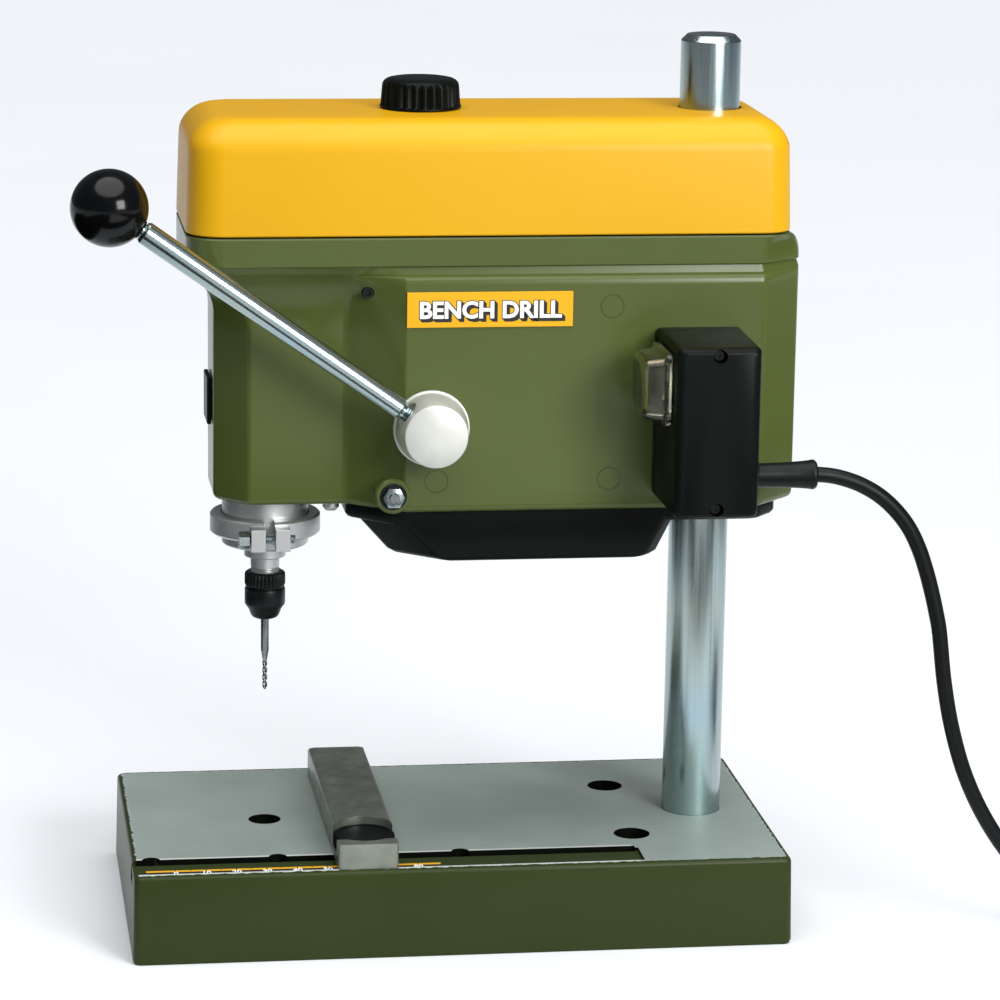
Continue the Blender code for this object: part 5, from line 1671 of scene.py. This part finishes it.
@dataclass
class Cord:
    """The mains cord: down from the strain relief to the floor, then a flat coil of two layers and a plug."""

    radius: float = 2.6
    start_y: float = -57.0
    end_y: float = -67.0
    turns: float = 8.25
    coil_r: float = 29.9
    length: float = 1.8
    tail: float = 27.0
    sides: int = 12

    def route(self) -> list[Vector]:
        """The cord's centreline in millimetres.

        Returns:
            The free stretch, the coil inwards along the floor and outwards on top, then the run to the plug.
        """
        last = len(CORD_ROUTE) - 1
        drift = self.end_y - self.start_y
        knots = [
            Vector((x, self.start_y + drift * (i / last) ** 2, z)) for i, (x, z) in enumerate(CORD_ROUTE)
        ]
        coil = Extent.of("cord_coil")
        middle, spread = coil.middle, self.turns * self.radius
        outer = self.coil_r + spread / 2
        knots.append(Vector((middle.x - 8, middle.y - outer, self.radius + 0.1)))
        line = smooth_line(knots)
        half = self.turns / 2
        steps = int(self.turns * 40)
        for i in range(steps + 1):
            gone = self.turns * i / steps
            layer = min(gone, self.turns - gone)
            reach = outer - 2 * self.radius * layer
            # It climbs from the floor to the upper layer over the half turn in the middle.
            climb = min(max((gone - half + 0.25) / 0.5, 0), 1)
            z = self.radius + 0.1 + 2 * self.radius * climb * climb * (3 - 2 * climb)
            angle = 2 * math.pi * gone - math.pi / 2
            line.append(Vector((middle.x + reach * math.cos(angle), middle.y + reach * math.sin(angle), z)))
        end = line[-1]
        plug = Extent.of("plug_body")
        drop = plug.middle.z - end.z
        for i in range(1, 13):
            t = i / 12
            line.append(end + Vector((0, self.tail * t, drop * t * t * (3 - 2 * t))))
        return line

    def build(self) -> None:
        """Builds the sleeve of the cord, the plug and its pins."""
        line = self.route()
        made = sum((b - a).length for a, b in zip(line, line[1:]))
        LOG.info("cord route is %.0f mm long", made)
        cord = self.sleeve(line)
        cord.data.materials.append(CORD_PVC.build())
        smooth(cord, 60)
        coil = Extent.of("cord_coil")
        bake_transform(cord)
        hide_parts("cord", "cord_coil")
        plug = self.plug(line[-1])
        pins = [self.pin(name) for name in ("plug_pin_left", "plug_pin_right")]

    def sleeve(self, line: list[Vector]) -> bpy.types.Object:
        """A round tube along the line, whose rings don't twist."""
        rings = []
        side = Vector((0, 1, 0))
        for i, point in enumerate(line):
            ahead = (line[min(i + 1, len(line) - 1)] - line[max(i - 1, 0)]).normalized()
            side = (side - ahead * side.dot(ahead)).normalized()
            other = ahead.cross(side)
            ring = []
            for k in range(self.sides):
                angle = 2 * math.pi * k / self.sides
                ring.append(point + (side * math.cos(angle) + other * math.sin(angle)) * self.radius)
            rings.append(ring)
        return loft("mains_cord", rings)

    def plug(self, entry: Vector) -> bpy.types.Object:
        """Moulds the flat two-pin plug, with a ribbed tail."""
        size = Extent.of("plug_body")
        back = size.back
        sections = [(entry.y - 0.5, 2.9, 2.9)]
        for i in range(4):
            y = entry.y + i * 1.5
            sections += [
                (y, 3.3 + 0.1 * i, 3.2), (y + 0.7, 3.3 + 0.1 * i, 3.2), (y + 0.8, 3.0 + 0.1 * i, 2.9),
                (y + 1.4, 3.0 + 0.1 * i, 2.9)
            ]
        wide, high = size.wide / 2, size.high / 2
        sections += [
            (entry.y + 6.5, 4.4, 3.8), (entry.y + 11, wide - 4, high - 0.8),
            (entry.y + 14, wide - 1, high - 0.2)
        ]
        sections += [
            (entry.y + 17, wide, high), (back - 1.6, wide, high), (back - 0.5, wide - 0.5, high - 0.5),
            (back, wide - 1.4, high - 1.3)
        ]
        rings = []
        for y, half_wide, half_high in sections:
            corners = rectangle(-half_wide, half_wide, -half_high, half_high)
            outline = eased(corners, min(half_wide, half_high) * 0.85, 5, True)
            rings.append([(size.middle.x + a, y, size.middle.z + b) for a, b in outline])
        plug = loft("mains_plug", rings)
        return dress(plug, CORD_PVC, Body.BASE, "rubber", "plug_body", angle=40)

    def pin(self, node: str) -> bpy.types.Object:
        """Turns one plug pin: a sleeved root and a bright rounded tip."""
        size = Extent.of(node)
        radius = size.wide / 2
        profile = [
            (0, 0), (radius - 0.1, 0), (radius - 0.1, 9.8), (radius, 10), (radius, size.deep - 1.2),
            (radius - 0.9, size.deep), (0, size.deep)
        ]
        pin = turned(
            f"{node}_tip", eased(profile, 0.4), (size.middle.x, size.front, size.middle.z), (0, 1, 0), 40
        )
        return dress(pin, TURNED_STEEL, Body.BASE, "turned_steel", node)


def smooth_line(knots: list[Vector], parts: int = 6) -> list[Vector]:
    """A smooth curve through a cord's own points, without its last one."""
    around = [knots[0] * 2 - knots[1], *knots, knots[-1] * 2 - knots[-2]]
    line = []
    for before, start, end, after in zip(around, around[1:], around[2:], around[3:]):
        for i in range(parts):
            t = i / parts
            bend = 2 * before - 5 * start + 4 * end - after
            twist = 3 * (start - end) + after - before
            line.append(start + ((end - before) * t + bend * t * t + twist * t**3) / 2)
    return line


@dataclass
class Studio:
    """The pale floor, the soft lights and the camera."""

    ambient: float = 0.14
    backdrop: float = 0.96
    overhead_strength: float = 3.6
    overhead_spread_deg: float = 70.0
    overhead_aim: Point = (0.0, 0.25, -1.0)
    softbox_at: Point = (660.0, -1250.0, 660.0)
    softbox_wide: float = 600.0
    softbox_watts: float = 20.0
    reflector_at: Point = (150.0, -850.0, 12.0)
    reflector_wide: float = 560.0
    reflector_deep: float = 900.0
    reflector_watts: float = 2.2
    card_lift: float = 0.3
    camera_at: Point = (-170.7, -1286.0, 441.5)
    yaw: float = 8.33
    pitch: float = 13.04
    roll: float = 0.90
    lens: float = 142.0

    def build(self) -> None:
        """Sets up the floor, world, lights and camera."""
        scene = bpy.context.scene
        scene.view_settings.view_transform = "Standard"
        floor = box("floor", (-5000, -4000, -5.05), (5000, 6000, -0.05))
        floor.data.materials.append(PAPER_FLOOR.build())
        world = bpy.data.worlds.new("studio")
        scene.world = world
        world.use_nodes = True
        tree = world.node_tree
        background = tree.nodes["Background"]
        background.inputs["Color"].default_value = linear("#F2F6FF")
        # The backdrop is seen pale but, as it hangs far off, sends little light to the machine.
        seen = add_node(tree, "ShaderNodeLightPath").outputs["Is Camera Ray"]
        strength = add_node(
            tree, "ShaderNodeMapRange", {"Value": seen, "To Min": self.ambient, "To Max": self.backdrop}
        )
        tree.links.new(strength.outputs[0], background.inputs["Strength"])
        aim = Vector((10, 0, 150))
        self.light(
            "front_softbox", self.softbox_at, aim, self.softbox_wide, self.softbox_wide, self.softbox_watts
        )
        above = Vector((self.reflector_at[0], self.reflector_at[1], 900))
        size = (self.reflector_wide, self.reflector_deep)
        self.light("low_reflector", self.reflector_at, above, *size, self.reflector_watts)
        self.card("front_card", (-900, -1500), (1100, -220))
        self.card("left_card", (-1300, -220), (-230, 500))
        self.card("right_card", (520, -220), (1500, 500))
        self.overhead()
        self.camera()

    def light(self, name: str, at: Point, aim: Vector, wide: float, high: float, power: float) -> None:
        """Hangs one soft light.

        Args:
            name: its name.
            at: its place.
            aim: the point that it faces.
            wide: its width.
            high: its height.
            power: its power in watts.
        """
        lamp = bpy.data.lights.new(name, "AREA")
        lamp.shape = "RECTANGLE"
        lamp.size = wide * MM
        lamp.size_y = high * MM
        lamp.energy = power
        made = bpy.data.objects.new(name, lamp)
        made.location = Vector(at) * MM
        made.rotation_euler = (aim - Vector(at)).to_track_quat("-Z", "Y").to_euler()
        bpy.context.scene.collection.objects.link(made)

    def card(self, name: str, low: tuple[float, float], high: tuple[float, float]) -> None:
        """Lays a dark card on the floor, which takes the floor's light off the machine and is itself unseen.

        Args:
            name: its name.
            low: its corner with the lowest X and Y.
            high: its corner with the highest X and Y.
        """
        mesh = bpy.data.meshes.new(name)
        corners = [(low[0], low[1]), (high[0], low[1]), (high[0], high[1]), (low[0], high[1])]
        mesh.from_pydata([Vector((x, y, self.card_lift)) * MM for x, y in corners], [], [(0, 1, 2, 3)])
        card = link(name, mesh)
        card.data.materials.append(self.one_sided(BLACK_VELVET.build()))
        card.visible_camera = False
        card.visible_shadow = False

    def one_sided(self, material: bpy.types.Material) -> bpy.types.Material:
        """Clears a card's underside, so that the floor below it keeps its own light."""
        tree = material.node_tree
        shader = tree.nodes["Principled BSDF"]
        under = add_node(tree, "ShaderNodeNewGeometry").outputs["Backfacing"]
        clear = add_node(tree, "ShaderNodeBsdfTransparent").outputs[0]
        both = add_node(tree, "ShaderNodeMixShader", {0: under, 1: shader.outputs[0], 2: clear})
        tree.links.new(both.outputs[0], tree.nodes["Material Output"].inputs["Surface"])
        return material

    def overhead(self) -> None:
        """Lights the floor evenly from above, as a ceiling of diffusers does."""
        lamp = bpy.data.lights.new("overhead_diffuser", "SUN")
        lamp.energy = self.overhead_strength
        lamp.angle = math.radians(self.overhead_spread_deg)
        made = bpy.data.objects.new("overhead_diffuser", lamp)
        made.rotation_euler = Vector(self.overhead_aim).to_track_quat("-Z", "Y").to_euler()
        bpy.context.scene.collection.objects.link(made)

    def camera(self) -> None:
        """Sets the camera to the left of the machine and above it, looking down at it."""
        data = bpy.data.cameras.new("camera")
        data.lens = self.lens
        data.sensor_width = 36.0
        data.clip_end = 50
        made = bpy.data.objects.new("camera", data)
        turn = Matrix.Rotation(math.radians(-self.yaw), 4, "Z")
        tilt = Matrix.Rotation(math.radians(90 - self.pitch), 4, "X")
        roll = Matrix.Rotation(math.radians(self.roll), 4, "Z")
        made.matrix_world = Matrix.Translation(Vector(self.camera_at) * MM) @ turn @ tilt @ roll
        bpy.context.scene.collection.objects.link(made)
        bpy.context.scene.camera = made


def dress_the_rest(frame: dict) -> None:
    """Gives each CAD node that still shows the finish of its material slot."""
    slots = {row["node"]: row["material_slot"] for row in frame["record"]["subparts"]}
    for name, node in frame["nodes"].items():
        finish = SLOT_FINISH[slots[name]]
        node.data.materials.clear()
        node.data.materials.append(finish.build())
        LOG.info("%s keeps its CAD shape, in %s", name, finish.name)


def main() -> None:
    """Builds the whole scene in order."""
    logging.basicConfig(level=logging.INFO, format="%(message)s")
    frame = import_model()
    dress_the_rest(frame)
    Studio().build()
    Cord().build()
    for part in (
        Base(), Column(), Fence(), Housing(), MotorTub(), BeltCover(), FeedLever(), Quill(), SwitchGear()
    ):
        part.build()
        LOG.info("%s is done", type(part).__name__)


if __name__ == "__main__":
    main()
